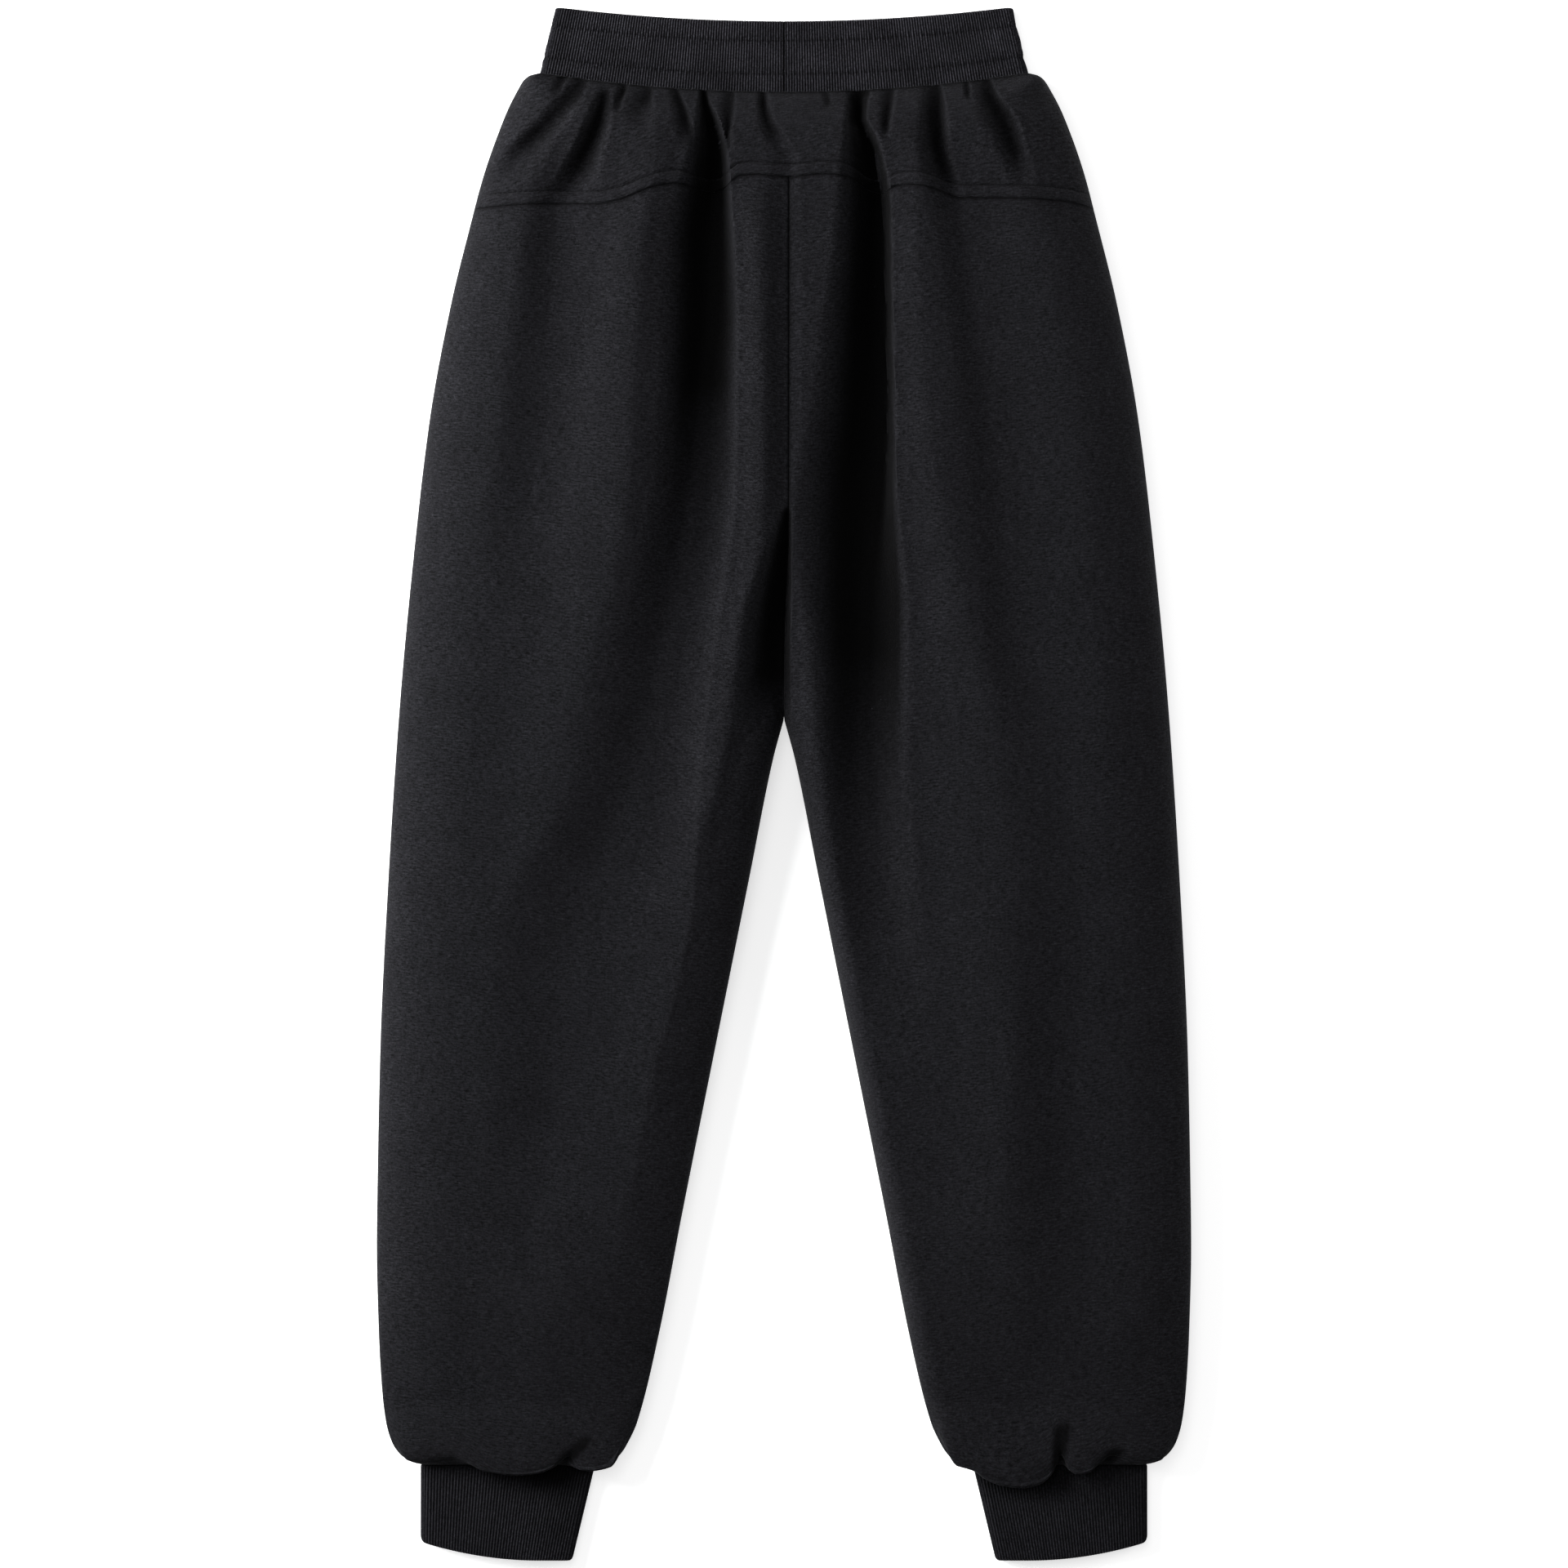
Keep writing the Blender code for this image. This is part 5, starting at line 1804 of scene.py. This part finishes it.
@dataclass
class StitchRow:
    """Rows of sewn stitches, each a small capsule of thread."""

    name: str
    length: float = 2.6
    gap: float = 0.9
    radius: float = 0.3
    sides: int = 6
    rings: tuple[StitchRing, ...] = (
        StitchRing(0.0, 0.25, -0.25), StitchRing(0.2, 0.9, 0.15), StitchRing(0.5, 1.0, 0.3),
        StitchRing(0.8, 0.9, 0.15), StitchRing(1.0, 0.25, -0.25),
    )

    def stitch(self, first: Array, last: Array) -> Array:
        """Give one stitch's points.

        Args:
            first: Where the stitch starts.
            last: Where it ends.

        Returns:
            Its points, ring after ring.
        """
        along = last - first
        along /= np.linalg.norm(along)
        across = np.cross(along, (0.0, 0.0, 1.0))
        across /= np.linalg.norm(across)
        up = np.cross(across, along)
        turns = (FULL_TURN * np.arange(self.sides) / self.sides)[:, None]
        round_it = across * np.cos(turns) + up * np.sin(turns)
        return np.concatenate([
            mix(first, last, ring.along) + self.radius * (up * ring.lift + round_it * ring.size)
            for ring in self.rings
        ])

    def faces(self, base: int) -> list[tuple]:
        """Give one stitch's faces.

        Args:
            base: Number of its first vertex.

        Returns:
            Its sides and its two ends.
        """
        rings = base + np.arange(len(self.rings) * self.sides).reshape(-1, self.sides)
        beside = np.roll(rings, -1, axis=1)
        quads = np.stack((rings[:-1], beside[:-1], beside[1:], rings[1:]), axis=2).reshape(-1, 4)
        ends = [tuple(rings[0, ::-1].tolist()), tuple(rings[-1].tolist())]
        return [tuple(quad) for quad in quads.tolist()] + ends

    def build(self, paths: Sequence[Array]) -> bpy.types.Object:
        """Make every stitch along some lines, in one mesh.

        Args:
            paths: Lines of points in millimetres that the stitches follow.

        Returns:
            The piece.
        """
        stitches = []
        for path in paths:
            steps = np.linalg.norm(np.diff(path, axis=0), axis=1)
            run = np.concatenate(([0.0], np.cumsum(steps)))
            for start in np.arange(self.gap, run[-1] - self.length, self.length + self.gap):
                first, last = (
                    np.array([np.interp(at, run, path[:, axis]) for axis in range(3)])
                    for at in (start, start + self.length)
                )
                stitches.append(self.stitch(first, last))
        size = len(self.rings) * self.sides
        faces = [face for number in range(len(stitches)) for face in self.faces(number * size)]
        return finish_mesh(self.name, np.concatenate(stitches) * MM, faces, None)

    def dress(self, piece: bpy.types.Object, thread: bpy.types.Material) -> None:
        """Finish the stitches and say what they ride on.

        Args:
            piece: The piece.
            thread: Its thread.
        """
        piece.data.materials.append(thread)
        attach(piece, "root")
        LOG.info("%s: %d faces", piece.name, len(piece.data.polygons))


@dataclass(frozen=True)
class SoftLight:
    """A white soft box: where it stands, its size and its power."""

    name: str
    place: tuple[float, float, float]
    size: float
    power: float
    target: tuple[float, float, float] = (0.0, 0.0, 0.02)

    def make(self) -> None:
        """Place the light, aimed at the garment's middle."""
        light = bpy.data.lights.new(self.name, "AREA")
        light.shape = "SQUARE"
        light.size = self.size
        light.energy = self.power
        made = bpy.data.objects.new(self.name, light)
        made.location = self.place
        aim = Vector(self.target) - made.location
        made.rotation_euler = aim.to_track_quat("-Z", "Y").to_euler()
        bpy.context.scene.collection.objects.link(made)


@dataclass
class Studio:
    """The pale floor, the lights and the camera straight above."""

    camera_height: float = 4.0
    frame_width: float = 1.0084
    frame_height: float = 0.012
    sensor: float = 36.0
    floor_half: float = 4.0
    floor_roughness: float = 0.9
    floor_glow: float = 0.62
    floor_tint: Tint = Tint(0.93, 0.93, 0.93)
    ambient: float = 0.16
    lights: tuple[SoftLight, ...] = (
        SoftLight("key_left", (-1.6, 0.75, 1.1), 1.0, 62.0),
        SoftLight("rim_left", (-2.0, 0.15, 0.32), 0.6, 42.0),
        SoftLight("fill_right", (2.1, 0.5, 0.7), 1.2, 17.0),
        SoftLight("top_soft", (-0.5, 0.75, 3.2), 1.6, 20.0),
    )

    def build(self) -> None:
        """Set up everything around the garment."""
        scene = bpy.context.scene
        self.floor()
        for light in self.lights:
            light.make()
        world = bpy.data.worlds.new("studio_air")
        world.use_nodes = True
        back = world.node_tree.nodes["Background"]
        back.inputs["Color"].default_value = WHITE
        back.inputs["Strength"].default_value = self.ambient
        scene.world = world
        camera = bpy.data.cameras.new("camera")
        camera.sensor_width = self.sensor
        camera.lens = self.sensor * (self.camera_height - self.frame_height) / self.frame_width
        made = bpy.data.objects.new("camera", camera)
        made.location = (0.0, 0.0, self.camera_height)
        scene.collection.objects.link(made)
        scene.camera = made
        scene.view_settings.view_transform = "Standard"
        scene.view_settings.look = "None"

    def floor(self) -> None:
        """Make the pale floor."""
        half = self.floor_half
        corners = [(-half, -half, 0.0), (half, -half, 0.0), (half, half, 0.0), (-half, half, 0.0)]
        mesh = bpy.data.meshes.new("floor")
        mesh.from_pydata(corners, [], [(0, 1, 2, 3)])
        made = bpy.data.objects.new("floor", mesh)
        finish, _, shader = new_material("pale_floor")
        shader.inputs["Base Color"].default_value = self.floor_tint.rgba()
        shader.inputs["Roughness"].default_value = self.floor_roughness
        shader.inputs["Emission Color"].default_value = WHITE
        shader.inputs["Emission Strength"].default_value = self.floor_glow
        mesh.materials.append(finish)
        bpy.context.scene.collection.objects.link(made)


FLEECE = KnitFinish(
    name="black_fleece", slot="fleece", tint=Tint(0.0092, 0.0092, 0.0108), wale=0.0011, course=0.0010,
    streak=0.0045, streak_share=0.75, nap_share=0.78, patch_share=0.17, stitch_bump=0.5,
    nap_bump=0.8, sheen=0.05,
)
RIB = KnitFinish(
    name="black_rib", slot="rib", tint=Tint(0.0262, 0.0257, 0.0306), wale=0.00085, course=0.0009,
    streak=0.0020, streak_share=0.70, nap_share=0.70, patch_share=0.42, stitch_bump=0.6,
    nap_bump=0.5, sheen=0.03,
)
CUFF_RIB = replace(RIB, name="black_cuff_rib", tint=Tint(0.0130, 0.0128, 0.0153), patch_share=0.2)
THREAD = ThreadFinish("black_thread", Tint(0.0045, 0.0045, 0.0055), 0.8)


@dataclass
class Joggers:
    """The whole garment: every piece with its finish, size and place in the frame."""

    topstitch_half: float = 190.0
    topstitch_points: int = 900
    topstitch_sink: float = 0.3
    band_end: float = 6.5
    band_points: int = 700
    band_thread_z: float = 12.6

    def __post_init__(self) -> None:
        """Prepare the shape, the materials and the upper pieces."""
        self.body = LaidBody()
        effects = ClothEffects()
        self.materials = {finish: finish.make(effects) for finish in (FLEECE, RIB, CUFF_RIB)}
        self.thread = THREAD.make()
        self.band = Waistband(
            name="waistband_rib", node="waistband", finish=RIB, flat=(0.62, 0.05), area=0.028,
            thick=13.0, pitch=1.7,
        )
        self.yoke = Yoke(
            name="yoke", node="back_yoke", finish=FLEECE, flat=(0.44, 0.1), area=0.036, body=self.body,
        )

    def leg(self, side: Side, overhang_middle: float, away_start: float) -> tuple[ClothPiece, ...]:
        """List the pieces of one leg.

        Args:
            side: Which leg.
            overhang_middle: Where the painted shadow under the leg's overhang is centred on the cuff.
            away_start: Where the painted shade on the cuff's side away from the light starts.

        Returns:
            Its back, its front and its cuff.
        """
        return (
            BackLeg(
                name=f"back_leg_{side.word}", node=f"back_{side.word}", finish=FLEECE,
                flat=(0.29, 0.9), area=0.2, body=self.body, side=side,
            ),
            FrontLeg(
                name=f"front_leg_{side.word}", node=f"front_{side.word}", finish=FLEECE,
                flat=(0.29, 0.95), area=0.2, body=self.body, side=side,
            ),
            Cuff(
                name=f"cuff_rib_{side.word}", node=f"cuff_{side.word}", finish=CUFF_RIB,
                flat=(0.22, 0.065), area=0.013, thick=12.0, pitch=1.9, side=side,
                overhang_middle=overhang_middle, away_start=away_start,
            ),
        )

    def build(self) -> None:
        """Make every piece."""
        left = self.leg(Side.LEFT, overhang_middle=-156.0, away_start=-172.0)
        right = self.leg(Side.RIGHT, overhang_middle=158.0, away_start=190.0)
        for piece in (self.band, self.yoke, *left, *right):
            piece.dress(piece.build(), self.materials[piece.finish])
        self.sew()

    def sew(self) -> None:
        """Make the rows of stitches."""
        body, band = self.body, self.band
        x = np.linspace(-self.topstitch_half, self.topstitch_half, self.topstitch_points)
        y = body.yoke_seam(x) + self.yoke.turn_up
        above = [np.stack((x, y, body.top_z(x, y) - self.topstitch_sink), axis=1)]
        round_band = []
        for level in band.rows:
            half = float(band.width(level)[1])
            x = np.linspace(self.band_end - half, half - self.band_end, self.band_points)
            y = band.edge_y(x, x / half, level)
            round_band.append(np.stack((x, y, np.full_like(x, self.band_thread_z)), axis=1))
        for name, paths in (("yoke_topstitch", above), ("waistband_stitches", round_band)):
            row = StitchRow(name)
            row.dress(row.build(paths), self.thread)


def main() -> None:
    """Build the joggers around the frame and set up the studio."""
    logging.basicConfig(level=logging.INFO, format="%(message)s")
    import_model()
    Joggers().build()
    Studio().build()


if __name__ == "__main__":
    main()
